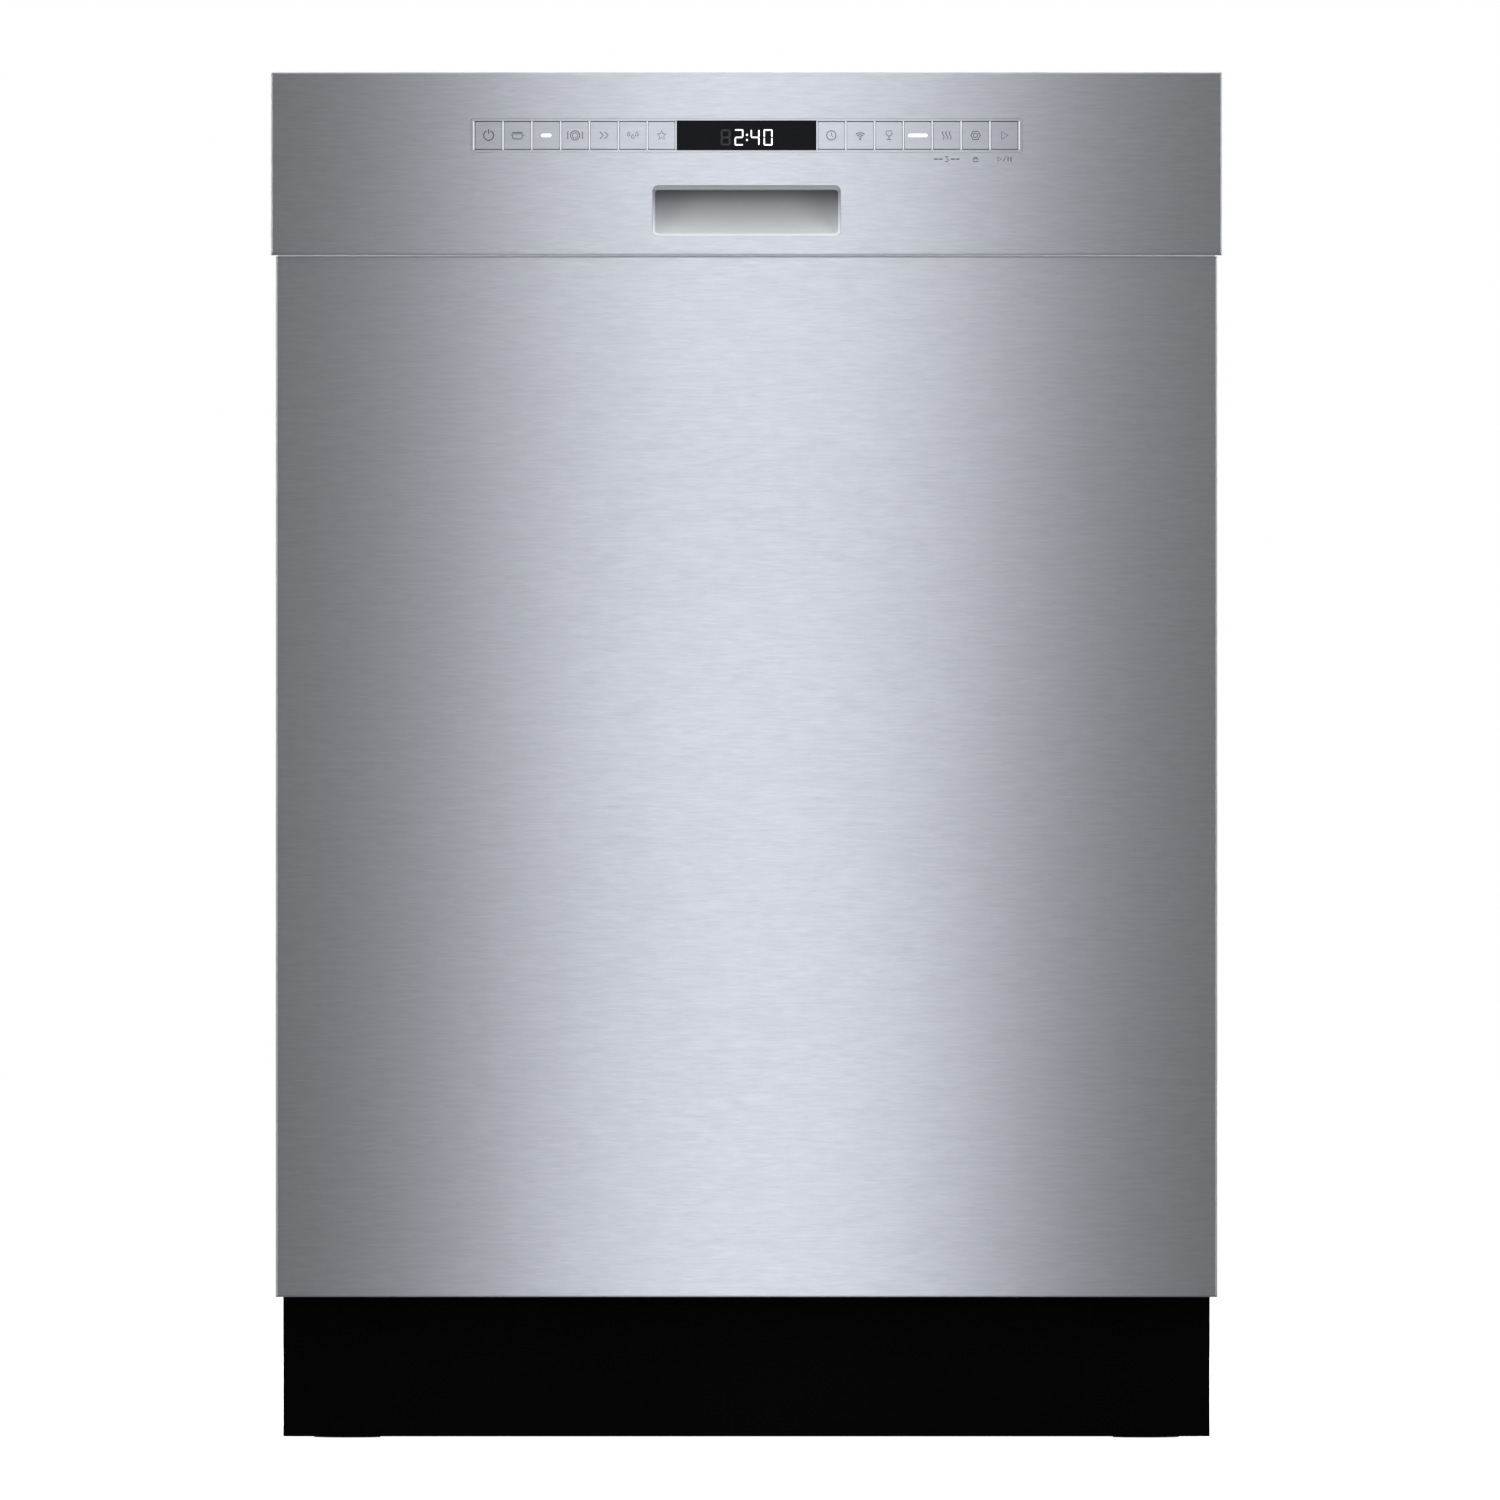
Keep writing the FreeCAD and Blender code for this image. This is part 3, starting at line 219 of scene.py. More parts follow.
brushed("tub_steel", (0.62, 0.62, 0.612), 0.42, 0.5, (3.0, 260.0, 3.0), 2.4, streak=0.04, tangent="Z", bump=0.00001, metal=0.6)
brushed("liner_steel", (0.54, 0.54, 0.537), 0.40, 0.5, (3.0, 3.0, 260.0), 2.4, streak=0.05, tangent="X", bump=0.00001, metal=0.75)
brushed("hinge_steel", (0.50, 0.51, 0.52), 0.38, 0.3, (40.0, 14.0, 260.0), 3.0, streak=0.10, tangent=None, bump=0.00003)
brushed("rail_steel", (0.64, 0.64, 0.64), 0.34, 0.3, (60.0, 3.0, 420.0), 2.0, streak=0.06, tangent=None, metal=0.7)
brushed("spring_steel", (0.30, 0.30, 0.31), 0.36, 0.0, (500.0, 500.0, 500.0), 2.0, streak=0.18, tangent=None)
brushed("filter_steel", (0.58, 0.58, 0.575), 0.36, 0.0, (240.0, 240.0, 240.0), 2.0, streak=0.06, tangent=None)

g = Mat("galvanised_steel", (0.46, 0.47, 0.485), 0.75, 0.42)
sp = g.voronoi(95.0, out="Color")
sep = g.n("ShaderNodeSeparateColor")
g.link(sp, sep.inputs["Color"])
gn = g.noise(60.0, 3.0)
g.set_color(g.shade(g.math("ADD", g.math("MULTIPLY", sep.outputs[0], 0.6), g.math("MULTIPLY", gn, 0.4)), 0.14, 0.1, 0.9))
g.set_rough(g.range(sep.outputs[1], 0.0, 1.0, 0.34, 0.5))
g.bump(gn, 0.00004, 0.4)
MATS["galvanised_steel"] = g.m

k = Mat("kick_black", (0.0011, 0.0011, 0.0013), 0.0, 0.6)
o = k.noise(900.0, 2.0)
k.set_rough(k.range(o, 0.3, 0.7, 0.46, 0.54))
k.set_color(k.shade(k.noise(7.0, 3.0), 0.35))
k.bump(o, 0.00003, 0.4)
k.b.inputs["Specular IOR Level"].default_value = 0.02
MATS["kick_black"] = k.m

moulded("base_plastic", (0.055, 0.055, 0.058), 0.5, vary=0.2)
moulded("sump_plastic", (0.10, 0.10, 0.105), 0.42)
moulded("pump_plastic", (0.50, 0.50, 0.48), 0.45)
moulded("duct_plastic", (0.40, 0.41, 0.43), 0.38)
moulded("inlet_plastic", (0.60, 0.605, 0.585), 0.36, vary=0.05)
moulded("valve_plastic", (0.72, 0.72, 0.69), 0.4)
moulded("foot_plastic", (0.04, 0.04, 0.042), 0.5, vary=0.2)
moulded("filter_plastic", (0.40, 0.42, 0.45), 0.4)
moulded("arm_plastic", (0.33, 0.34, 0.36), 0.36)
moulded("wheel_plastic", (0.36, 0.38, 0.41), 0.4)
moulded("basket_plastic", (0.33, 0.35, 0.38), 0.42)
moulded("dispenser_plastic", (0.48, 0.49, 0.50), 0.38, vary=0.04)
moulded("cap_plastic", (0.38, 0.43, 0.50), 0.36)
moulded("module_plastic", (0.05, 0.05, 0.052), 0.5, vary=0.2)
moulded("latch_plastic", (0.06, 0.06, 0.062), 0.45, vary=0.2)
moulded("rack_nylon", (0.40, 0.42, 0.45), 0.30, grain=900.0, depth=0.00004, vary=0.05, Coat_Weight=0.3)
moulded("seal_rubber", (0.03, 0.03, 0.032), 0.6, grain=1800.0, depth=0.00004, vary=0.25, spec=0.35)
# grip_plastic paints light and shade by height: pale near the bottom where the scoop faces up (painted light), darker
# toward the top under the lip (painted shade)
gp = Mat("grip_plastic", (0.6, 0.61, 0.62), 0.0, 0.42)
gx = gp.n("ShaderNodeSeparateXYZ")
gp.link(gp.co, gx.inputs["Vector"])
gn1 = gp.noise(2400.0, 2.0)
painted_shade_height = gp.math("ADD", gx.outputs[2], gp.range(gn1, 0.3, 0.7, -0.0004, 0.0004))
# painted light at the bottom, painted shade toward the top, and a mid-grey band of painted shade along the lip edge
# above z 786.2
gp.set_color(gp.mix(gp.range(painted_shade_height, 0.7857, 0.7862), gp.mix(gp.range(painted_shade_height, 0.7585, 0.7862, 0.0, 1.0), (0.95, 0.975, 0.97), (0.20, 0.205, 0.215)), (0.335, 0.345, 0.345)))
gp.set_rough(gp.range(gn1, 0.3, 0.7, 0.42, 0.5))
gp.bump(gn1, 0.00001, 0.4)
MATS["grip_plastic"] = gp.m
dg = moulded("display_glass", (0.006, 0.0065, 0.008), 0.3, grain=60.0, depth=0.0, vary=0.1, spec=0.06)
moulded("pad_bitumen", (0.055, 0.055, 0.057), 0.75, grain=500.0, depth=0.0002, vary=0.2, spec=0.25, cloud=40.0)
bf = moulded("blanket_felt", (0.17, 0.17, 0.178), 0.9, grain=900.0, depth=0.0004, vary=0.10, spec=0.1, cloud=9.0)
fib = bf.noise(420.0, 4.0, bf.mapped((1.0, 3.0, 1.0)), 0.7, 0.6)
bf.set_color(bf.mix(bf.range(bf.math("ADD", bf.math("MULTIPLY", fib, 0.75), bf.math("MULTIPLY", bf.noise(9.0, 3.0), 0.25)), 0.36, 0.64), (0.125, 0.125, 0.133), (0.225, 0.225, 0.235)))

for n, obj in NODES.items():
    slot_name = next(s["material_slot"] for s in frame["record"]["subparts"] if s["node"] == n)
    obj.data.materials.clear()
    obj.data.materials.append(MATS[slot_name])

# ============================================================ mesh helpers
PI = math.pi


def V3(x, y, z):
    return Vector((x * MM, y * MM, z * MM))


def finish_mesh(name, bm, mat, body, replaces=(), angle=32.0, doubles=True):
    if doubles:
        bmesh.ops.remove_doubles(bm, verts=bm.verts, dist=2e-6)
    bmesh.ops.recalc_face_normals(bm, faces=bm.faces)
    for f in bm.faces:
        f.smooth = True
    lim = math.radians(angle)
    for e in bm.edges:
        if len(e.link_faces) == 2 and e.calc_face_angle(0) > lim:
            e.smooth = False
    me = bpy.data.meshes.new(name)
    bm.to_mesh(me)
    bm.free()
    ob = bpy.data.objects.new(name, me)
    SC.collection.objects.link(ob)
    me.materials.append(MATS[mat] if isinstance(mat, str) else mat)
    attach(ob, body)
    if replaces:
        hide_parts(*replaces)
    return ob


def round_path(pts, r, seg=5, closed=False):
    P = [Vector(p) for p in pts]
    out, n = [], len(P)
    for i in range(n):
        if not closed and i in (0, n - 1):
            out.append(P[i])
            continue
        a, b, c = P[i - 1], P[i], P[(i + 1) % n]
        u, v = (a - b).normalized(), (c - b).normalized()
        ang = u.angle(v)
        if ang > PI - 0.02:
            out.append(b)
            continue
        t = min(r / math.tan(ang / 2), (a - b).length * 0.49, (c - b).length * 0.49)
        rr = t * math.tan(ang / 2)
        ctr = b + (u + v).normalized() * (rr / math.sin(ang / 2))
        w0, w1 = b + u * t - ctr, b + v * t - ctr
        tot = w0.angle(w1)
        for k in range(seg + 1):
            f = k / seg
            out.append(ctr + (w0 * math.sin((1 - f) * tot) + w1 * math.sin(f * tot)) / math.sin(tot))
    return out


def circle_profile(r, n=8):
    return [(r * math.cos(2 * PI * k / n), r * math.sin(2 * PI * k / n)) for k in range(n)]


def sweep(bm, pts, prof, closed=False, dome=False, up=None):
    """Sweeps a closed profile, a list of (a, b) pairs or a radius, along points. dome rounds both ends."""
    if isinstance(prof, (int, float)):
        prof = circle_profile(prof)
    P = [Vector(p) for p in pts]
    scale = [1.0] * len(P)
    if dome and not closed:
        r = max(math.hypot(a, b) for a, b in prof)
        d0, d1 = (P[1] - P[0]).normalized(), (P[-1] - P[-2]).normalized()
        head, tail = [], []
        for ang in (80, 55, 28):
            a = math.radians(ang)
            head.append((P[0] - d0 * r * math.sin(a) * 0.999, math.cos(a)))
            tail.append((P[-1] + d1 * r * math.sin(a) * 0.999, math.cos(a)))
        P = [h[0] for h in head] + P + [t[0] for t in reversed(tail)]
        scale = [h[1] for h in head] + scale + [t[1] for t in reversed(tail)]
    m, n = len(P), len(prof)
    T = []
    for i in range(m):
        d = (P[(i + 1) % m] - P[i - 1]) if closed else (P[min(i + 1, m - 1)] - P[max(i - 1, 0)])
        T.append(d.normalized())
    ref = Vector(up) if up is not None else (Vector((0, 0, 1)) if abs(T[0].z) < 0.9 else Vector((1, 0, 0)))
    N = (ref - T[0] * ref.dot(T[0])).normalized()
    rings = []
    for i in range(m):
        if up is not None:
            N = (ref - T[i] * ref.dot(T[i])).normalized()
        elif i:
            N = T[i - 1].rotation_difference(T[i]) @ N
            N = (N - T[i] * N.dot(T[i])).normalized()
        B = T[i].cross(N)
        rings.append([bm.verts.new(P[i] + (N * a + B * b) * scale[i]) for a, b in prof])
    last = m if closed else m - 1
    shift = 0
    if closed and up is None:
        shift = min(range(n), key=lambda s: (rings[-1][0].co - rings[0][s].co).length)
    for i in range(last):
        A, Bq = rings[i], rings[(i + 1) % m]
        sft = shift if i == m - 1 else 0
        for k in range(n):
            bm.faces.new((A[k], A[(k + 1) % n], Bq[(k + 1 + sft) % n], Bq[(k + sft) % n]))
    if not closed:
        bm.faces.new(rings[0][::-1])
        bm.faces.new(rings[-1])


def lathe(bm, prof, centre, axis, n=24, close=True):
    """Turns (radius, height) pairs round an axis through centre."""
    ax = Vector(axis).normalized()
    u = (Vector((1, 0, 0)) if abs(ax.x) < 0.9 else Vector((0, 1, 0)))
    u = (u - ax * u.dot(ax)).normalized()
    w = ax.cross(u)
    c = Vector(centre)
    rings = []
    for r, h in prof:
        if r < 1e-9:
            rings.append([bm.verts.new(c + ax * h)])
        else:
            rings.append([bm.verts.new(c + ax * h + (u * math.cos(2 * PI * k / n) + w * math.sin(2 * PI * k / n)) * r) for k in range(n)])
    pairs = list(zip(rings, rings[1:])) + ([(rings[-1], rings[0])] if close else [])
    for A, B in pairs:
        if len(A) == 1 and len(B) == 1:
            continue
        for k in range(n):
            q = (k + 1) % n
            if len(A) == 1:
                bm.faces.new((A[0], B[q], B[k]))
            elif len(B) == 1:
                bm.faces.new((A[k], A[q], B[0]))
            else:
                bm.faces.new((A[k], A[q], B[q], B[k]))


def rbox(bm, x0, x1, y0, y1, z0, z1, bevel=0.5, seg=2):
    """A box with rounded edges, in millimetres."""
    vs = [bm.verts.new(V3(x, y, z)) for x in (x0, x1) for y in (y0, y1) for z in (z0, z1)]
    idx = [(0, 1, 3, 2), (4, 6, 7, 5), (0, 4, 5, 1), (2, 3, 7, 6), (0, 2, 6, 4), (1, 5, 7, 3)]
    fs = [bm.faces.new([vs[i] for i in f]) for f in idx]
    if bevel:
        es = list({e for f in fs for e in f.edges})
        bmesh.ops.bevel(bm, geom=es, offset=bevel * MM, segments=seg, affect="EDGES", profile=0.7)


def refine(node, width=0.5, seg=2, mat=None, body=None, angle=30.0, name=None):
    """A copy of a CAD node's own mesh with small rounded edges, standing for the node."""
    src = NODES[node]
    bm = bmesh.new()
    bm.from_mesh(src.data)
    bmesh.ops.remove_doubles(bm, verts=bm.verts, dist=1e-6)
    bmesh.ops.dissolve_limit(bm, angle_limit=math.radians(0.6), verts=bm.verts, edges=bm.edges)
    lim = math.radians(angle)
    es = [e for e in bm.edges if len(e.link_faces) == 2 and e.calc_face_angle(0) > lim and e.calc_length() > width * MM * 1.2]
    if es and width:
        bmesh.ops.bevel(bm, geom=es, offset=width * MM, segments=seg, affect="EDGES", profile=0.6, clamp_overlap=True)
    slot_name = next(s["material_slot"] for s in frame["record"]["subparts"] if s["node"] == node)
    ob = finish_mesh(name or node + "_finished", bm, mat or MATS[slot_name], body or src["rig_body"], (node,), angle=48.0)
    wn = ob.modifiers.new("flat_faces", "WEIGHTED_NORMAL")
    wn.keep_sharp = True
    wn.weight = 60
    return ob


# ============================================================ racks
WIRE = 2.0 * MM


def tine(bm, x, y, z0, z1, r=1.7):
    sweep(bm, [V3(x, y, z0), V3(x, y, z1)], circle_profile(r * MM, 8), dome=True)


LX, LY0, LY1, LZ = 243.0, -206.0, 258.0, 180.0
xs = [-228 + 38 * i for i in range(13)]
ys = [-172 + 43 * i for i in range(11)]
bm = bmesh.new()
for x in xs:
    sweep(bm, round_path([V3(x, LY0, 289), V3(x, LY0, 206), V3(x, -181, LZ), V3(x, LY1, LZ), V3(x, LY1, 299)], 9 * MM), WIRE)
for y in ys:
    sweep(bm, round_path([V3(-LX, y, 299), V3(-LX, y, LZ + 3.6), V3(LX, y, LZ + 3.6), V3(LX, y, 299)], 9 * MM), WIRE)
sweep(bm, round_path([V3(-246.6, -209.6, 238), V3(246.6, -209.6, 238), V3(246.6, 261.6, 238), V3(-246.6, 261.6, 238)], 14 * MM, 6, True), WIRE, True)
rim = [V3(-240, LY0, 290), V3(240, LY0, 290), V3(LX, -190, 291), V3(LX, -150, 300), V3(LX, LY1, 300), V3(-LX, LY1, 300), V3(-LX, -150, 300), V3(-LX, -190, 291)]
sweep(bm, round_path(rim, 12 * MM, 6, True), 2.7 * MM, True)
for y in (-135, -63, 9, 81):
    row = [-224 + 30 * i for i in range(12) if y > 70 or -224 + 30 * i < 112]
    sweep(bm, [V3(row[0] - 10, y, LZ + 7.2), V3(row[-1] + 10, y, LZ + 7.2)], circle_profile(1.7 * MM, 8), dome=True)
    for x in row:
        tine(bm, x, y, LZ + 6, 253.6)
lower_rack = finish_mesh("lower_rack_wires", bm, "rack_nylon", "lower_rack", ("lower_rack",), angle=50)

# wheel carriers, axle stubs and clips of the lower rack
bm = bmesh.new()
for y in (-100.0, 200.0):
    for sx in (-1, 1):
        a, b = sorted((sx * 245.9, sx * 248.7))
        rbox(bm, a, b, y - 9, y + 9, 160, 236, 0.9)
        a, b = sorted((sx * 240.6, sx * 246.2))
        for z in (196.0, 226.0):
            rbox(bm, a, b, y - 6, y + 6, z - 4, z + 4, 1.0)
        lathe(bm, [(0, -0.2 * MM), (6.5 * MM, -0.2 * MM), (6.5 * MM, 1.4 * MM), (3.0 * MM, 1.8 * MM), (3.0 * MM, 13.0 * MM), (2.4 * MM, 13.6 * MM), (0, 13.6 * MM)], V3(sx * 248.4, y, 169.4), (sx, 0, 0), 20, False)
        lathe(bm, [(0, 0), (4.6 * MM, 0), (4.6 * MM, 1.3 * MM), (3.2 * MM, 2.2 * MM), (0, 2.2 * MM)], V3(sx * 260.4, y, 169.4), (sx, 0, 0), 20, False)
finish_mesh("lower_rack_carriers", bm, "wheel_plastic", "lower_rack")
bm = bmesh.new()
for x in (-205, 5, 215):
    rbox(bm, x - 3, x + 3, 144.2, 155.8, 183.2, 187.4, 0.8)
    for dy in (-4.4, 2.5):
        rbox(bm, x - 3, x + 3, 150 + dy, 150 + dy + 1.9, 186.0, 195.2, 0.6)
finish_mesh("fold_tine_clips", bm, "wheel_plastic", "lower_rack")

bm = bmesh.new()
sweep(bm, [V3(-231, 150, 190), V3(231, 150, 190)], 2.0 * MM, dome=True)
for i in range(15):
    x = -217 + 31 * i
    if min(abs(x + 205), abs(x - 5), abs(x - 215)) > 6:
        tine(bm, x, 150, 190.5, 251.6)
finish_mesh("fold_down_tines_wires", bm, "rack_nylon", "fold_tines", ("fold_down_tines",), angle=50)

UZ, UY0, UY1 = 507.0, -200.0, 252.0
uxs = [-225 + 37.5 * i for i in range(13)]
uys = [-168 + 41 * i for i in range(11)]
bm = bmesh.new()
for x in uxs:
    sweep(bm, round_path([V3(x, UY0, 597), V3(x, UY0, UZ), V3(x, UY1, UZ), V3(x, UY1, 611)], 9 * MM), WIRE)
for y in uys:
    sweep(bm, round_path([V3(-240, y, 611), V3(-240, y, UZ + 3.6), V3(240, y, UZ + 3.6), V3(240, y, 611)], 9 * MM), WIRE)
sweep(bm, round_path([V3(-243.4, -203.4, 556), V3(243.4, -203.4, 556), V3(243.4, 255.4, 556), V3(-243.4, 255.4, 556)], 14 * MM, 6, True), WIRE, True)
rim = [V3(-237, UY0, 598), V3(237, UY0, 598), V3(240, -186, 599), V3(240, -150, 612), V3(240, UY1, 612), V3(-240, UY1, 612), V3(-240, -150, 612), V3(-240, -186, 599)]
sweep(bm, round_path(rim, 12 * MM, 6, True), 2.7 * MM, True)
for x in (-150, -75, 75, 150):
    sweep(bm, [V3(x, -172, UZ + 7.0), V3(x, 226, UZ + 7.0)], circle_profile(1.6 * MM, 8), dome=True)
    for j in range(12):
        tine(bm, x, -160 + 34 * j, UZ + 6, 565.8, 1.6)
finish_mesh("upper_rack_wires", bm, "rack_nylon", "upper_rack", ("upper_rack",), angle=50)
bm = bmesh.new()
for y in (-125.0, 215.0):
    for sx in (-1, 1):
        a, b = sorted((sx * 243.4, sx * 246.7))
        rbox(bm, a, b, y - 12, y + 12, 566, 611, 1.0)
        a, b = sorted((sx * 237.2, sx * 244.0))
        rbox(bm, a, b, y - 8, y + 8, 572, 580, 1.0)
        a, b = sorted((sx * 246, sx * 257))
        rbox(bm, a, b, y - 6, y + 6, 598, 606, 0.8)
        a, b = sorted((sx * 255.8, sx * 261.8))
        rbox(bm, a, b, y - 14, y + 14, 592.2, 611.8, 2.0)
finish_mesh("upper_rack_glides", bm, "wheel_plastic", "upper_rack")
# front handle of the lower rack
bm = bmesh.new()
for (y, z, body_dummy) in ((-206, 290, 0),):
    prof = [(6.5 * MM * math.cos(a), 3.6 * MM * math.sin(a)) for a in [2 * PI * k / 16 for k in range(16)]]
    sweep(bm, round_path([V3(-64, y - 1.5, z - 2), V3(-52, y - 2.2, z - 5), V3(52, y - 2.2, z - 5), V3(64, y - 1.5, z - 2)], 10 * MM, 6), prof, dome=False, up=(0, 0, 1))
finish_mesh("lower_rack_grip", bm, "wheel_plastic", "lower_rack")

# ---- cutlery basket: moulded lattice walls
BX0, BX1, BY0, BY1, BZ0, BZ1 = 126.0, 234.0, -166.0, 58.0, 186.0, 304.0


def lattice(bm, o, u, v, us, vs, holes, thick, n):
    """Flat panel on a grid with open cells, given thickness along n. All lengths in millimetres."""
    o, u, v, n = Vector(o), Vector(u), Vector(v), Vector(n)
    faces = []
    grid = {}

    def vert(i, j, k):
        key = (i, j, k)
        if key not in grid:
            p = o + u * us[i] + v * vs[j] + n * (thick * k)
            grid[key] = bm.verts.new(p * MM)
        return grid[key]

    nu, nv = len(us) - 1, len(vs) - 1
    solid = {(i, j) for i in range(nu) for j in range(nv) if not holes(i, j)}
    for i, j in solid:
        bm.faces.new((vert(i, j, 0), vert(i + 1, j, 0), vert(i + 1, j + 1, 0), vert(i, j + 1, 0)))
        bm.faces.new((vert(i, j + 1, 1), vert(i + 1, j + 1, 1), vert(i + 1, j, 1), vert(i, j, 1)))
        for (a, b), (di, dj) in ((((0, 0), (1, 0)), (0, -1)), (((1, 0), (1, 1)), (1, 0)), (((1, 1), (0, 1)), (0, 1)), (((0, 1), (0, 0)), (-1, 0))):
            if (i + di, j + dj) not in solid:
                p, q = (i + a[0], j + a[1]), (i + b[0], j + b[1])
                bm.faces.new((vert(*q, 0), vert(*p, 0), vert(*p, 1), vert(*q, 1)))


def bars(length, cell, bar, first):
    n = max(1, int((length - 2 * first + bar) // (cell + bar)))
    c = (length - 2 * first - (n - 1) * bar) / n
    out = [0.0, first]
    for i in range(n):
        out.append(out[-1] + c)
        out.append(out[-1] + (bar if i < n - 1 else first))
    return out


bm = bmesh.new()
H = BZ1 - BZ0
vz = bars(H - 12, 19, 2.6, 5) + [H]
odd = lambda i, j: i % 2 == 1 and j % 2 == 1 and j < len(vz) - 2
for x, nx in ((BX0, 1), (BX1, -1)):
    lattice(bm, (x, BY0 + 4, BZ0), (0, 1, 0), (0, 0, 1), bars(BY1 - BY0 - 8, 9.5, 2.6, 5), vz, odd, 2.2, (nx, 0, 0))
lattice(bm, (179.0, BY0 + 2, BZ0 + 2), (0, 1, 0), (0, 0, 1), bars(BY1 - BY0 - 4, 15, 3.0, 5), vz[:-1] + [H - 4], odd, 2.2, (1, 0, 0))
for y, ny in ((BY0, 1), (BY1, -1)):
    lattice(bm, (BX0 + 4, y, BZ0), (1, 0, 0), (0, 0, 1), bars(BX1 - BX0 - 8, 9.5, 2.6, 5), vz, odd, 2.2, (0, ny, 0))
for y in (-92.0, -18.2):
    lattice(bm, (BX0 + 2, y, BZ0 + 2), (1, 0, 0), (0, 0, 1), bars(BX1 - BX0 - 4, 15, 3.0, 5), vz[:-1] + [H - 4], odd, 2.2, (0, 1, 0))
lattice(bm, (BX0 + 2, BY0 + 2, BZ0), (1, 0, 0), (0, 1, 0), bars(BX1 - BX0 - 4, 7, 2.4, 4), bars(BY1 - BY0 - 4, 7, 2.4, 4), lambda i, j: i % 2 == 1 and j % 2 == 1, 2.2, (0, 0, 1))
for cx, cy in ((BX0 + 5, BY0 + 5), (BX1 - 5, BY0 + 5), (BX0 + 5, BY1 - 5), (BX1 - 5, BY1 - 5)):
    lathe(bm, [(0, 0), (5.0 * MM, 0), (5.0 * MM, H * MM), (0, H * MM)], V3(cx, cy, BZ0), (0, 0, 1), 20, False)
rimp = [(1.9 * MM * math.cos(a), 1.9 * MM * math.sin(a)) for a in [2 * PI * k / 10 for k in range(10)]]
sweep(bm, round_path([V3(BX0 + 1.2, BY0 + 1.2, BZ1 - 1.4), V3(BX1 - 1.2, BY0 + 1.2, BZ1 - 1.4), V3(BX1 - 1.2, BY1 - 1.2, BZ1 - 1.4), V3(BX0 + 1.2, BY1 - 1.2, BZ1 - 1.4)], 7 * MM, 5, True), rimp, True)
hp = [(3.2 * MM * math.cos(a), 4.6 * MM * math.sin(a)) for a in [2 * PI * k / 14 for k in range(14)]]
sweep(bm, round_path([V3(180, -101, 296), V3(180, -101, 339.2), V3(180, -7, 339.2), V3(180, -7, 296)], 13 * MM, 6), hp, up=(1, 0, 0))
finish_mesh("cutlery_basket_lattice", bm, "basket_plastic", "lower_rack", ("cutlery_basket",), angle=35)


# ============================================================ spray arms
def spray(name, node, body, cx, cy, z0, z1, w0, w1, length, bend, hub, holes, jets):
    bm = bmesh.new()
    zm, h = (z0 + z1) / 2, (z1 - z0) / 2
    st = [-1 + 2 * i / 40 for i in range(41)]
    rings = []
    for s in st:
        t = abs(s)
        x = cx + s * length
        w = (w0 + (w1 - w0) * t) * (1 - 0.12 * math.exp(-((t - 0.22) / 0.1) ** 2))
        hh = h * (1 - 0.35 * t)
        if t > 0.93:
            q = math.sqrt(max(0.0, 1 - ((t - 0.93) / 0.0701) ** 2))
            w, hh = w * (0.25 + 0.75 * q), hh * (0.45 + 0.55 * q)
        off = math.copysign(bend * t * t, s)
        ring = []
        for k in range(24):
            a = 2 * PI * k / 24
            ca, sa = math.cos(a), math.sin(a)
            py = math.copysign(abs(ca) ** 0.75, ca) * w
            pz = math.copysign(abs(sa) ** 0.85, sa) * hh
            if sa > 0:
                pz *= 1 - 0.22 * math.exp(-(py / (w * 0.42)) ** 2)
            ring.append(bm.verts.new(V3(x, cy + off + py, zm + pz)))
        rings.append(ring)
    for A, B in zip(rings, rings[1:]):
        for k in range(24):
            bm.faces.new((A[k], A[(k + 1) % 24], B[(k + 1) % 24], B[k]))
    bm.faces.new(rings[0][::-1])
    bm.faces.new(rings[-1])
    lathe(bm, [(r * MM, z * MM) for r, z in hub], (cx * MM, cy * MM, 0), (0, 0, 1), 32, True)
    for i in range(jets):
        t = 0.27 + 0.66 * i / (jets - 1)
        for sg in (1, -1):
            x = cx + sg * length * t
            y = cy + sg * bend * t * t + (5 if i % 2 else -5) * (1 - 0.4 * t) * sg
            zt = zm + h * (1 - 0.35 * t) * 0.92
            lathe(bm, [(1.2 * MM, -1.5 * MM), (3.1 * MM, -1.5 * MM), (3.1 * MM, 0.1 * MM), (2.5 * MM, 0.7 * MM), (1.6 * MM, 0.7 * MM), (1.2 * MM, 0.0)], V3(x, y, zt), (0.12 * sg, 0.2 if i % 2 else -0.2, 1), 14, True)
    return finish_mesh(name, bm, "arm_plastic", body, (node,), angle=38)


spray("lower_spray_arm_shell", "lower_spray_arm", "lower_spray_arm", 0, 20, 149, 162, 24, 13, 204.5, 16,
      [(10.06, 139.6), (23.6, 139.6), (24, 140.4), (24, 160.5), (22, 162.6), (16, 163.4), (7, 163.4), (6, 162.6), (0.01, 162.6), (0.01, 151.2), (10.06, 151.0)], None, 6)
spray("upper_spray_arm_shell", "upper_spray_arm", "upper_spray_arm", 0, 25, 476, 486, 19, 11, 189.5, 13,
      [(8.06, 475.1), (19.2, 475.1), (20, 476.0), (20, 486.2), (18.8, 487.3), (8.06, 487.3)], None, 6)

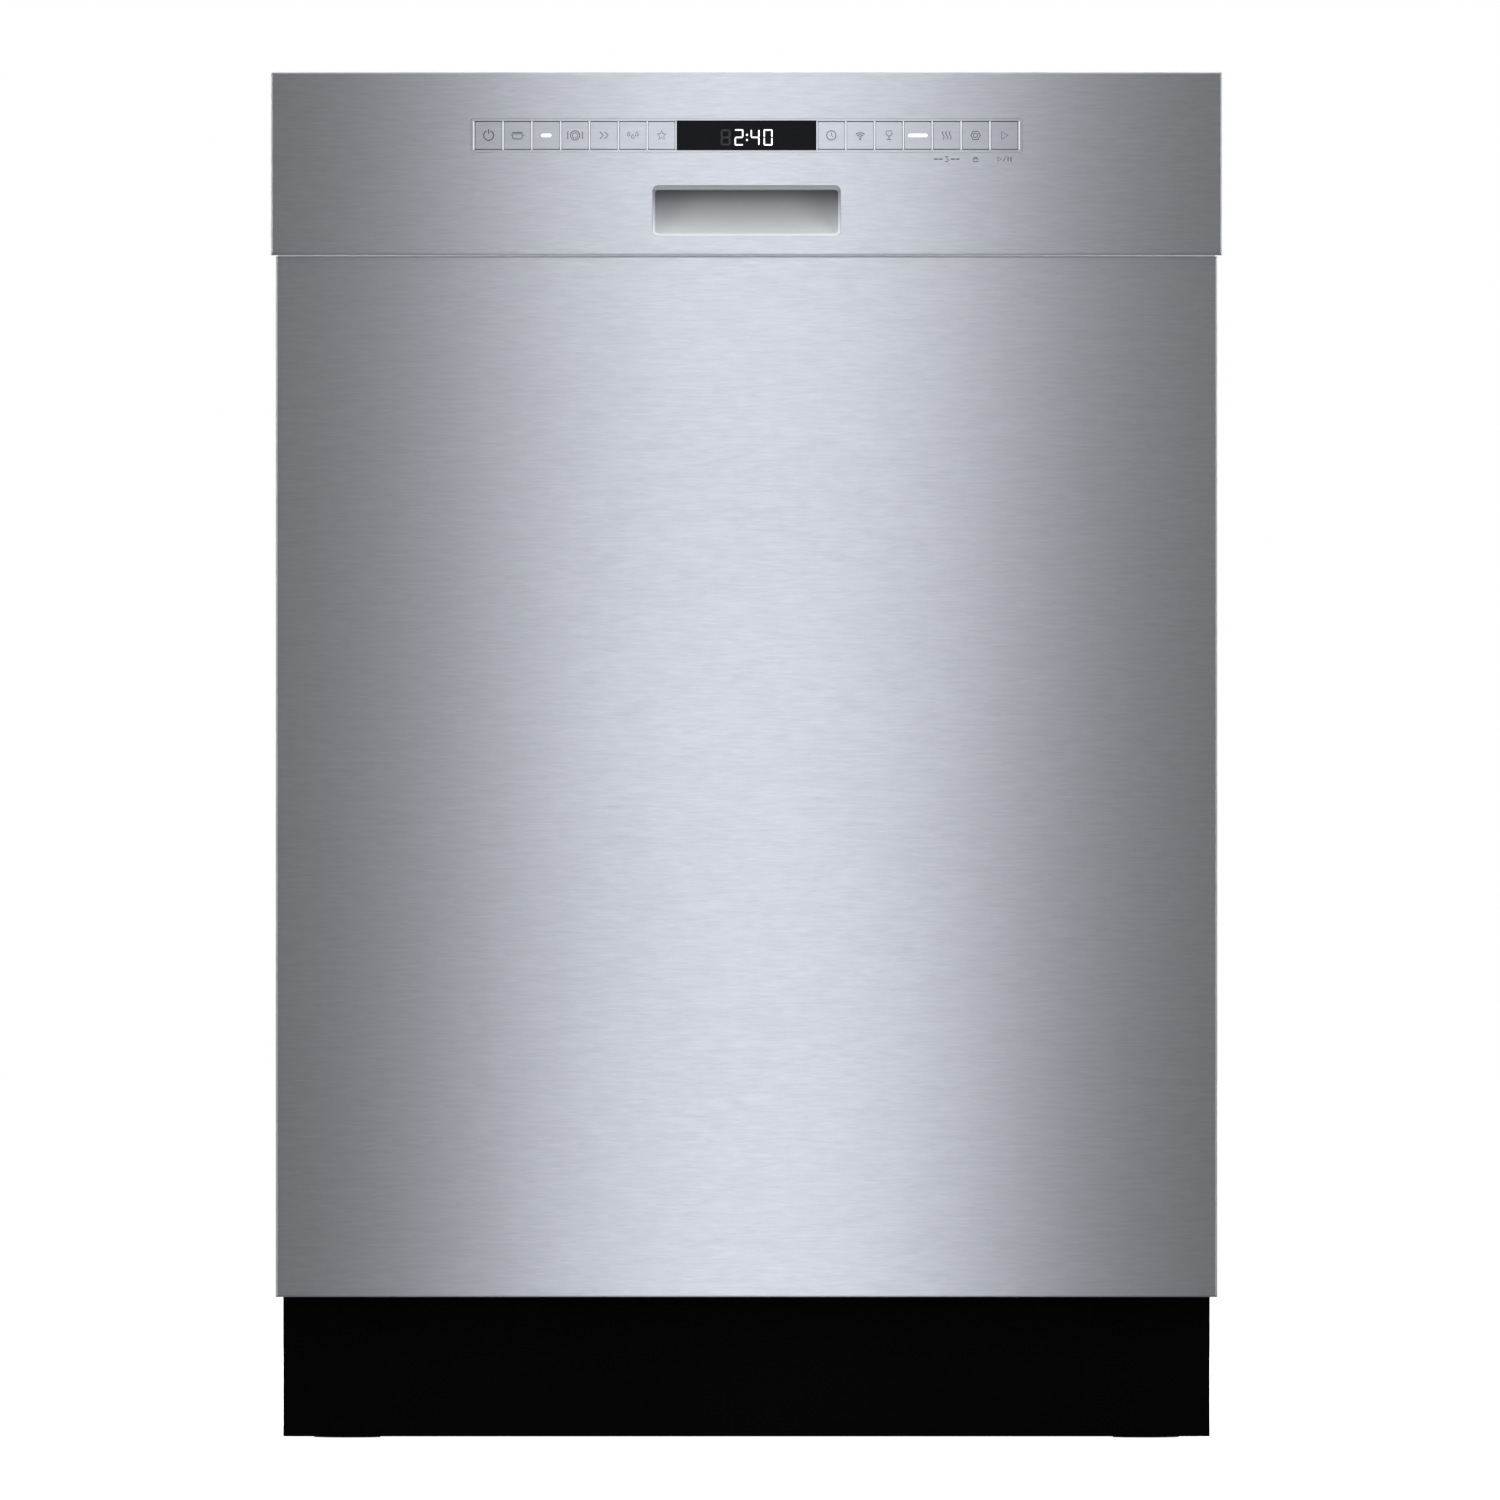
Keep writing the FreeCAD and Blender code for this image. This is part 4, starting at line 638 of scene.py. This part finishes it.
# ============================================================ seals, springs
bm = bmesh.new()
sp = [(2.1 * MM * math.cos(a) * (1.0 if math.cos(a) > -0.2 else 0.92), 3.4 * MM * math.sin(a)) for a in [2 * PI * k / 14 for k in range(14)]]
pathu = round_path([V3(-276, -242.25, 154.5), V3(-276, -242.25, 832), V3(276, -242.25, 832), V3(276, -242.25, 154.5)], 20 * MM, 10)
sweep(bm, pathu, sp, up=(0, 1, 0))
for dx in (-2.2, 0.0, 2.2):
    k2 = 276 + dx
    sweep(bm, round_path([V3(-k2, -244.0 if dx == 0 else -243.6, 155.5), V3(-k2, -244.0 if dx == 0 else -243.6, 832 + dx), V3(k2, -244.0 if dx == 0 else -243.6, 832 + dx), V3(k2, -244.0 if dx == 0 else -243.6, 155.5)], 20 * MM, 10), circle_profile(0.55 * MM, 6), up=(0, 1, 0))
lip = [(x, y) for x, y in ((-244.3, 129.4), (-242.8, 130.0), (-241.1, 129.6), (-240.2, 127.8), (-240.2, 119.8), (-241.4, 119.2), (-242.2, 121.0), (-243.2, 124.6))]
r0, r1 = [], []
for y, z in lip:
    r0.append(bm.verts.new(V3(-262, y, z)))
    r1.append(bm.verts.new(V3(262, y, z)))
for i in range(len(lip)):
    q = (i + 1) % len(lip)
    bm.faces.new((r0[i], r0[q], r1[q], r1[i]))
bm.faces.new(r0[::-1])
bm.faces.new(r1)
finish_mesh("door_seal_rubber", bm, "seal_rubber", "chassis", ("door_seals",), angle=40)

bm = bmesh.new()
for sx in (-1, 1):
    y0, y1, Rc, turns = -188.6, -69.4, 4.6, 17
    pts = []
    total = turns * 18
    for i in range(total + 1):
        a = 2 * PI * i / 18
        f = i / total
        e = 1.2 / turns
        g = (f * 0.25 if f < e else (e * 0.25 + (f - e) / (1 - 2 * e) * (1 - 2 * e * 0.25) if f < 1 - e else 1 - (1 - f) * 0.25))
        pts.append(V3(sx * 288.6 + Rc * math.cos(a), y0 + (y1 - y0) * g, 146 + Rc * math.sin(a)))
    sweep(bm, pts, circle_profile(0.95 * MM, 8))
springs = finish_mesh("door_spring_coils", bm, "spring_steel", "chassis", ("door_springs",), angle=50)
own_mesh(springs)

# ============================================================ insulation blanket
src = NODES["insulation_blanket"]
me = src.data.copy()
blk = bpy.data.objects.new("blanket_felt_cover", me)
SC.collection.objects.link(blk)
bm = bmesh.new()
bm.from_mesh(me)
bmesh.ops.remove_doubles(bm, verts=bm.verts, dist=1e-6)
bm.to_mesh(me)
bm.free()
rm = blk.modifiers.new("r", "REMESH")
rm.mode = "VOXEL"
rm.voxel_size = 0.0052
rm.use_smooth_shade = True
sm = blk.modifiers.new("s", "SMOOTH")
sm.factor = 0.5
sm.iterations = 3
dg_ = bpy.context.evaluated_depsgraph_get()
new_me = bpy.data.meshes.new_from_object(blk.evaluated_get(dg_))
blk.modifiers.clear()
blk.data = new_me
co = np.zeros(len(new_me.vertices) * 3)
new_me.vertices.foreach_get("co", co)
co = co.reshape(-1, 3)
nr = np.zeros(len(new_me.vertices) * 3)
new_me.vertices.foreach_get("normal", nr)
nr = nr.reshape(-1, 3)
outer = (np.abs(co[:, 0]) > 0.2755) | (co[:, 2] > 0.8315)
seam = np.zeros(len(co))
side = np.abs(co[:, 0]) > 0.262
for z in (0.268, 0.405, 0.542, 0.679):
    seam += np.where(side, np.exp(-((co[:, 2] - z) / 0.0045) ** 2), 0)
for y in (-0.09, 0.035, 0.16):
    seam += np.exp(-((co[:, 1] - y) / 0.0045) ** 2)
for x in (-0.14, 0.0, 0.14):
    seam += np.where(~side, np.exp(-((co[:, 0] - x) / 0.0045) ** 2), 0)
seam = np.clip(seam, 0, 1)
dz = np.abs(np.sin((co[:, 2] - 0.268) / 0.137 * PI)) if True else 0
dy = np.abs(np.sin((co[:, 1] + 0.09) / 0.125 * PI))
puff = np.sqrt(np.clip(dz, 0, 1) * np.clip(dy, 0, 1))
wave = np.array([noise.noise(Vector(c) * 14.0) for c in co]) * 0.6 + np.array([noise.noise(Vector(c) * 45.0) for c in co]) * 0.4
disp = np.where(outer, 0.0012 * puff + 0.0009 * wave - 0.0030 * seam, 0.0)
co = co + nr * disp[:, None]
new_me.vertices.foreach_set("co", co.reshape(-1))
new_me.materials.clear()
new_me.materials.append(MATS["blanket_felt"])
for p in new_me.polygons:
    p.use_smooth = True
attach(blk, "chassis")
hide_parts("insulation_blanket")


# ============================================================ fascia: keys, legends, display, grip
CELL, CELL_START = 18.13, 44.3
KEY_ORDER = ["key_power"] + ["key_program_%d" % i for i in range(1, 7)] + ["key_delay"] + ["key_option_%d" % i for i in range(1, 6)] + ["key_start"]
KX = []
for side in (-1, 1):
    for i in range(7):
        KX.append(side * (CELL_START + CELL * (i + 0.5)))
KX.sort()
KZ = 820.1


def flat_mat(name, color, rough, emit=None, strength=0.0, vary=0.08):
    k = Mat(name, color, 0.0, rough)
    c = k.noise(160.0, 2.0)
    k.set_color(k.shade(c, vary))
    k.set_rough(k.range(c, 0.3, 0.7, rough - 0.05, rough + 0.05))
    if emit:
        k.b.inputs["Emission Color"].default_value = (*emit, 1)
        k.b.inputs["Emission Strength"].default_value = strength
    MATS[name] = k.m
    return k.m


flat_mat("legend_ink", (0.053, 0.055, 0.059), 0.5)
flat_mat("legend_lit", (0.85, 0.87, 0.9), 0.4, (1.0, 1.0, 1.0), 1.15, 0.02)
# the ribs between the keys hold no lamp; their faint emission is painted light that keeps them bright
flat_mat("glowing_rib", (0.80, 0.82, 0.86), 0.3, (0.93, 0.96, 1.0), 0.22, 0.04)
flat_mat("digit_lit", (0.8, 0.82, 0.84), 0.4, (1.0, 1.0, 1.0), 1.0, 0.02)
flat_mat("digit_ghost", (0.0068, 0.0072, 0.0085), 0.4)
flat_mat("joint_filler", (0.55, 0.56, 0.59), 0.5)


def stroke(bm, pts, width, y0, y1, closed=False):
    """A printed line of that width, lying in the XZ plane. Points are (x, z) in millimetres."""
    h, w = (y1 - y0) / 2 * MM, width / 2 * MM
    prof = [(-h, -w), (h, -w), (h, w), (-h, w)]
    sweep(bm, [V3(x, (y0 + y1) / 2, z) for x, z in pts], prof, closed, up=(0, 1, 0))


def arc_pts(cx, cz, r, a0, a1, n=18):
    return [(cx + r * math.cos(math.radians(a0 + (a1 - a0) * k / n)), cz + r * math.sin(math.radians(a0 + (a1 - a0) * k / n))) for k in range(n + 1)]


def ring_pts(cx, cz, r, n=28):
    return arc_pts(cx, cz, r, 0, 360 - 360 / n, n - 1)


def area_poly(bm, pts, y0, y1):
    a = [bm.verts.new(V3(x, y0, z)) for x, z in pts]
    b = [bm.verts.new(V3(x, y1, z)) for x, z in pts]
    bm.faces.new(a)
    bm.faces.new(b[::-1])
    for i in range(len(pts)):
        q = (i + 1) % len(pts)
        bm.faces.new((a[i], b[i], b[q], a[q]))


def capsule(cx, cz, w, h, n=8):
    r = h / 2
    return arc_pts(cx + w / 2 - r, cz, r, -90, 90, n) + arc_pts(cx - w / 2 + r, cz, r, 90, 270, n)


def pictogram(bm, kind, x, z, y0, y1, w=0.5):
    S = lambda pts, closed=False, ww=w: stroke(bm, [(x + a, z + b) for a, b in pts], ww, y0, y1, closed)
    if kind == "power":
        S(arc_pts(0, 0, 3.1, 118, 422, 30), ww=0.62)
        S([(0, 4.0), (0, 0.9)], ww=0.62)
    elif kind == "pot":
        S([(-3.0, 1.0), (-3.0, -1.6), (-2.4, -2.2), (2.4, -2.2), (3.0, -1.6), (3.0, 1.0)], True)
        S([(-4.2, 0.3), (-3.3, 0.3)])
        S([(3.3, 0.3), (4.2, 0.3)])
        S([(-3.2, 1.9), (3.2, 1.9)])
    elif kind == "plate":
        S(ring_pts(0, 0, 2.9), True)
        S(ring_pts(0, 0, 1.7), True, 0.38)
        S([(-4.6, 2.4), (-4.6, -2.4)])
        S([(4.6, 2.4), (4.6, -2.4)])
    elif kind == "fast":
        S([(-2.6, 2.3), (-0.4, 0.0), (-2.6, -2.3)])
        S([(0.4, 2.3), (2.6, 0.0), (0.4, -2.3)])
    elif kind == "drops":
        for dx, dz in ((-2.6, 0.6), (0.0, -0.9), (2.6, 0.6)):
            S([(dx, dz + 1.7), (dx + 0.85, dz + 0.1), (dx + 0.7, dz - 0.7), (dx, dz - 1.05), (dx - 0.7, dz - 0.7), (dx - 0.85, dz + 0.1)], True, 0.38)
    elif kind == "star":
        pts = []
        for k in range(10):
            r = 3.1 if k % 2 == 0 else 1.35
            pts.append((r * math.sin(2 * PI * k / 10), r * math.cos(2 * PI * k / 10)))
        S(pts, True, 0.42)
    elif kind == "clock":
        S(ring_pts(0, 0, 2.9), True)
        S([(0, 1.8), (0, 0), (1.3, -0.8)], ww=0.42)
    elif kind == "arcs":
        for r in (1.5, 2.8, 4.1):
            S([(px, pz - 2.4) for px, pz in arc_pts(0, 0, r, 48, 132, 12)])
        area_poly(bm, [(x + px, z + pz) for px, pz in ring_pts(0, -2.3, 0.55, 14)], y0, y1)
    elif kind == "glass":
        S([(-1.8, 2.8), (-1.9, 1.2), (-1.2, 0.0), (0, -0.45), (1.2, 0.0), (1.9, 1.2), (1.8, 2.8)], True, 0.42)
        S([(0, -0.6), (0, -2.5)], ww=0.42)
        S([(-1.5, -2.7), (1.5, -2.7)], ww=0.45)
    elif kind == "heat":
        for dx in (-2.2, 0.0, 2.2):
            S([(dx + 0.55 * math.sin(k / 12 * 2 * PI), -2.5 + 5.0 * k / 12) for k in range(13)], ww=0.45)
    elif kind == "nut":
        S([(3.0 * math.cos(PI / 3 * k), 3.0 * math.sin(PI / 3 * k)) for k in range(6)], True)
        S(ring_pts(0, 0, 1.35, 20), True, 0.42)
    elif kind == "play":
        S([(-1.7, 2.5), (2.3, 0.0), (-1.7, -2.5)], True, 0.5)
    elif kind == "lock":
        S([(-1.4, -1.5), (1.4, -1.5), (1.4, 0.3), (-1.4, 0.3)], True, 0.5)
        S(arc_pts(0, 0.3, 0.95, 0, 180, 10), ww=0.42)


KINDS = {"key_power": "power", "key_program_1": "pot", "key_program_3": "plate", "key_program_4": "fast", "key_program_5": "drops", "key_program_6": "star",
         "key_delay": "clock", "key_option_1": "arcs", "key_option_2": "glass", "key_option_4": "heat", "key_option_5": "nut", "key_start": "play"}
KEY_Y = -301.2
for x, key in zip(KX, KEY_ORDER):
    refine(key, 0.22, 2, name=key + "_cap")
    bm = bmesh.new()
    if key in KINDS:
        pictogram(bm, KINDS[key], x, KZ, KEY_Y - 0.035, KEY_Y + 0.02)
        finish_mesh(key + "_legend", bm, "legend_ink", key)
    else:
        wdt = 6.4 if key == "key_program_2" else 12.0
        area_poly(bm, [(px, pz) for px, pz in capsule(x, KZ, wdt, 2.0)], KEY_Y - 0.04, KEY_Y + 0.02)
        finish_mesh(key + "_lamp", bm, "legend_lit", key)

# small marks printed under the last three keys
bm = bmesh.new()
fy0, fy1 = -301.53, -301.48
mz = 805.2
x = KX[11]
for a, b in ((-8.0, -5.6), (-5.0, -2.6), (2.6, 5.0), (5.6, 8.0)):
    stroke(bm, [(x + a, mz), (x + b, mz)], 0.7, fy0, fy1)
stroke(bm, [(x - 1.0, mz + 1.5), (x + 1.0, mz + 1.5), (x, mz + 0.3), (x + 0.8, mz - 0.1), (x + 1.0, mz - 0.8), (x + 0.5, mz - 1.5), (x - 1.0, mz - 1.5)], 0.46, fy0, fy1)
pictogram(bm, "lock", KX[12], mz, fy0, fy1)
x = KX[13]
stroke(bm, [(x - 4.2, mz + 1.4), (x - 1.8, mz), (x - 4.2, mz - 1.4)], 0.46, fy0, fy1, True)
stroke(bm, [(x - 0.9, mz - 1.5), (x + 0.9, mz + 1.5)], 0.4, fy0, fy1)
stroke(bm, [(x + 2.3, mz + 1.5), (x + 2.3, mz - 1.5)], 0.6, fy0, fy1)
stroke(bm, [(x + 4.1, mz + 1.5), (x + 4.1, mz - 1.5)], 0.6, fy0, fy1)
finish_mesh("fascia_marks", bm, "legend_ink", "door")

# strip frame with rounded edges, and the pale ribs between its keys, which glow faintly as painted light
refine("key_strip", 0.15, 2)
bm = bmesh.new()
for side in (-1, 1):
    for i in range(8):
        if i == 0:
            continue
        cx = side * (CELL_START + CELL * i)
        if i == 7:
            continue
        rbox(bm, cx - 0.46, cx + 0.46, -301.49, -300.9, KZ - 8.9, KZ + 8.9, 0.16, 2)
    cx = side * (CELL_START + CELL * 7 + 0.3)
    rbox(bm, cx - 0.32, cx + 0.32, -301.49, -300.9, KZ - 8.9, KZ + 8.9, 0.14, 2)
    cx = side * (CELL_START - 0.02)
    rbox(bm, cx - 0.30, cx + 0.30, -301.49, -300.9, KZ - 8.9, KZ + 8.9, 0.12, 2)
finish_mesh("key_glowing_ribs", bm, "glowing_rib", "door")

# display: seven-segment digits behind the black window
refine("display_window", 0.25, 2)
SEG = {"8": "abcdefg", "2": "abged", "4": "fgbc", "0": "abcdef"}


def digit(bm, ch, x0, x1, z0, z1, t, y0, y1):
    zm, g = (z0 + z1) / 2, 0.16
    h2 = t / 2
    ends = {"a": ((x0 + g, z1 - h2), (x1 - g, z1 - h2)), "g": ((x0 + g + 0.2, zm), (x1 - g - 0.2, zm)), "d": ((x0 + g, z0 + h2), (x1 - g, z0 + h2)),
            "f": ((x0 + h2, zm + g), (x0 + h2, z1 - g - 0.1)), "b": ((x1 - h2, zm + g), (x1 - h2, z1 - g - 0.1)),
            "e": ((x0 + h2, z0 + g + 0.1), (x0 + h2, zm - g)), "c": ((x1 - h2, z0 + g + 0.1), (x1 - h2, zm - g))}
    for s in SEG[ch]:
        (ax, az), (bx, bz) = ends[s]
        d = Vector((bx - ax, bz - az)).normalized()
        nrm = Vector((-d.y, d.x))
        A, B = Vector((ax, az)), Vector((bx, bz))
        pts = [A, A + d * h2 + nrm * h2, B - d * h2 + nrm * h2, B, B - d * h2 - nrm * h2, A + d * h2 - nrm * h2]
        area_poly(bm, [(p.x, p.y) for p in pts], y0, y1)


def px_x(px):
    return (px - 746.5) * 0.628


def px_z(py):
    return (1439 - py) * 0.6294


DZ0, DZ1 = px_z(146.1), px_z(129.9)
bm = bmesh.new()
digit(bm, "2", px_x(734.6), px_x(743.4), DZ0, DZ1, 0.86, -301.24, -301.16)
digit(bm, "4", px_x(750.6), px_x(759.6), DZ0, DZ1, 0.86, -301.24, -301.16)
digit(bm, "0", px_x(763.6), px_x(772.6), DZ0, DZ1, 0.86, -301.24, -301.16)
cxm = px_x(747.0)
for zz in ((DZ0 + DZ1) / 2 + 1.6, (DZ0 + DZ1) / 2 - 1.6):
    area_poly(bm, [(cxm + a, zz + b) for a, b in ((-0.55, -0.6), (0.55, -0.6), (0.55, 0.6), (-0.55, 0.6))], -301.24, -301.16)
finish_mesh("display_digits", bm, "digit_lit", "door")
bm = bmesh.new()
digit(bm, "8", px_x(720.6), px_x(730.6), DZ0, DZ1, 1.25, -301.23, -301.16)
finish_mesh("display_ghost_digit", bm, "digit_ghost", "door")

# grip lining; its grip_plastic colour is painted light and shade by height
refine("grip_pocket", 0.55, 3)

# light filler in the joint between fascia and door skin, and black screws in the toe kick
bm = bmesh.new()
rbox(bm, -294.5, 294.5, -299.62, -297.2, 744.02, 744.98, 0.15, 1)
finish_mesh("fascia_joint_strip", bm, "joint_filler", "door")


def screw(bm, p, axis, r, h, slot=True):
    """Pan head screw, head height h along axis, with a round dip in the head when slot is set."""
    lathe(bm, [(0, 0), (r * MM, 0), (r * MM, h * 0.35 * MM), (r * 0.82 * MM, h * 0.8 * MM), (r * 0.45 * MM, h * MM), (0, h * 0.62 * MM if slot else h * MM)], V3(*p), axis, 20, False)


bm = bmesh.new()
for x in (-235, 235):
    screw(bm, (x, -224.9, 70), (0, -1, 0), 4.6, 1.9)
finish_mesh("toe_kick_screws", bm, "kick_black", "chassis")

# ============================================================ finished edges on the other parts
for node, wd in (("toe_kick", 0.25), ("front_frame", 0.3), ("worktop_brackets", 0.35), ("inlet_unit", 1.2), ("inlet_valve", 0.5), ("circulation_pump", 0.8),
                 ("drain_pump", 0.7), ("feed_tube", 0.8), ("dispenser_body", 0.5), ("detergent_lid", 0.6), ("rinse_aid_cap", 0.5), ("hinge_arms", 0.4),
                 ("hinge_brackets", 0.35), ("spring_rods", 0.3), ("door_latch", 0.6), ("upper_rack_rails", 0.3), ("lower_rack_front_wheels", 0.7),
                 ("lower_rack_rear_wheels", 0.7), ("filter_plate", 0.3), ("filter_cylinder", 0.5), ("foot_front_left", 0.6), ("foot_front_right", 0.6),
                 ("foot_rear", 0.6), ("upper_rack_pipe", 0.8), ("sump", 0.8)):
    refine(node, wd, 2)

# door skin and fascia: brushed front, plain satin on the folded sides
for node in ("door_panel", "control_fascia"):
    ob = NODES[node]
    ob.data.materials.append(MATS["door_side"])
    for p in ob.data.polygons:
        if abs(p.normal.x) > 0.5:
            p.material_index = 1

# ============================================================ back and sides
# pressed beads and a sound-deadening pad on the tub's back
bm = bmesh.new()
YB = 280.75
bead = [(2.2 * MM * math.sin(PI * k / 10), 6.5 * MM * math.cos(PI * k / 10)) for k in range(11)]
for x0, z0, x1, z1 in ((-205, 175, -205, 770), (205, 175, 205, 770), (-150, 790, 150, 790), (-150, 155, 150, 155)):
    sweep(bm, [V3(x0, YB, z0), V3(x1, YB, z1)], bead, up=(0, 1, 0))
finish_mesh("tub_back_beads", bm, "tub_steel", "chassis", angle=50)
bm = bmesh.new()
rbox(bm, -165, 165, YB - 0.2, YB + 2.1, 300, 700, 1.0, 2)
finish_mesh("tub_back_pad", bm, "pad_bitumen", "chassis")

# screws at the rear of the base
bm = bmesh.new()
for x in (-272, 256):
    for z in (58, 112):
        screw(bm, (x, 289.9, z), (0, 1, 0), 4.2, 1.8)
finish_mesh("base_rear_screws", bm, "galvanised_steel", "chassis")
# ============================================================ stage, light, camera
SC.view_settings.view_transform = "Standard"
SC.view_settings.look = "None"


def area(name, loc, target, size, power, size_y=None, color=(1, 1, 1), cam=False):
    d = bpy.data.lights.new(name, "AREA")
    d.shape = "RECTANGLE" if size_y else "SQUARE"
    d.size = size
    if size_y:
        d.size_y = size_y
    d.energy = power
    d.color = color
    ob = bpy.data.objects.new(name, d)
    SC.collection.objects.link(ob)
    ob.location = loc
    ob.rotation_euler = (Vector(target) - Vector(loc)).to_track_quat("-Z", "Y").to_euler()
    ob.visible_camera = cam
    return ob


world = bpy.data.worlds.new("studio")
SC.world = world
world.use_nodes = True
wn = world.node_tree
bg = wn.nodes["Background"]
bg.inputs["Color"].default_value = (1, 1, 1, 1)
bg.inputs["Strength"].default_value = 1.0
bg2 = wn.nodes.new("ShaderNodeBackground")
bg2.inputs["Color"].default_value = (0.95, 0.97, 1.0, 1)
bg2.inputs["Strength"].default_value = 0.11
lp = wn.nodes.new("ShaderNodeLightPath")
mx = wn.nodes.new("ShaderNodeMixShader")
wn.links.new(lp.outputs["Is Camera Ray"], mx.inputs[0])
wn.links.new(bg2.outputs[0], mx.inputs[1])
wn.links.new(bg.outputs[0], mx.inputs[2])
wn.links.new(mx.outputs[0], wn.nodes["World Output"].inputs["Surface"])

bpy.ops.mesh.primitive_plane_add(size=60, location=(0, 0, 0))
floor = bpy.context.object
floor.name = "floor"
fm = bpy.data.materials.new("floor")
fm.use_nodes = True
ft = fm.node_tree
fb = ft.nodes["Principled BSDF"]
fb.inputs["Base Color"].default_value = (0.86, 0.86, 0.86, 1)
fb.inputs["Roughness"].default_value = 0.9
fe = ft.nodes.new("ShaderNodeEmission")
fe.inputs["Color"].default_value = (1, 1, 1, 1)
fe.inputs["Strength"].default_value = 0.97
fa = ft.nodes.new("ShaderNodeAddShader")
ft.links.new(fb.outputs[0], fa.inputs[0])
ft.links.new(fe.outputs[0], fa.inputs[1])
fd = ft.nodes.new("ShaderNodeEmission")
fd.inputs["Strength"].default_value = 0.3
fl = ft.nodes.new("ShaderNodeLightPath")
fx = ft.nodes.new("ShaderNodeMixShader")
ft.links.new(fl.outputs["Is Camera Ray"], fx.inputs[0])
ft.links.new(fd.outputs[0], fx.inputs[1])
ft.links.new(fa.outputs[0], fx.inputs[2])
ft.links.new(fx.outputs[0], ft.nodes["Material Output"].inputs["Surface"])
floor.data.materials.append(fm)
floor.visible_glossy = False
floor.visible_shadow = False

# a tall narrow light close to the door gives the bright middle and the darker sides
area("strip", (0.002, -0.98, 0.43), (0.002, 0, 0.43), 0.295, 4.32, 2.8, color=(0.955, 0.98, 1.06))
area("top_soft", (0, -0.4, 3.2), (0, 0, 0), 3.0, 30.0)
area("top_rear", (0, 1.3, 3.0), (0, 0.2, 0.6), 2.2, 32.0)
area("left_soft", (-3.2, 0.95, 1.6), (0, 0, 0.4), 2.2, 58.0)
area("right_soft", (3.2, 0.95, 1.6), (0, 0, 0.4), 2.2, 58.0)
area("front_left", (-3.6, -3.9, 1.0), (0, -0.3, 0.5), 2.6, 60.0)
area("front_right", (3.6, -3.9, 1.0), (0, -0.3, 0.5), 2.6, 60.0)
area("back_soft", (0.6, 3.4, 1.7), (0, 0, 0.4), 2.4, 62.0)

FRAME_M = 1500 * 0.6287 * MM
DIST = 28.0
cam_d = bpy.data.cameras.new("camera")
cam = bpy.data.objects.new("camera", cam_d)
SC.collection.objects.link(cam)
SC.camera = cam
cam_d.sensor_width = 36
cam_d.lens = 36 * DIST / FRAME_M
cam_d.clip_end = 90
cam.location = (0.0022, -0.3015 - DIST, 0.4337)
cam.rotation_euler = (math.radians(90), 0, 0)
cam_d.dof.use_dof = False
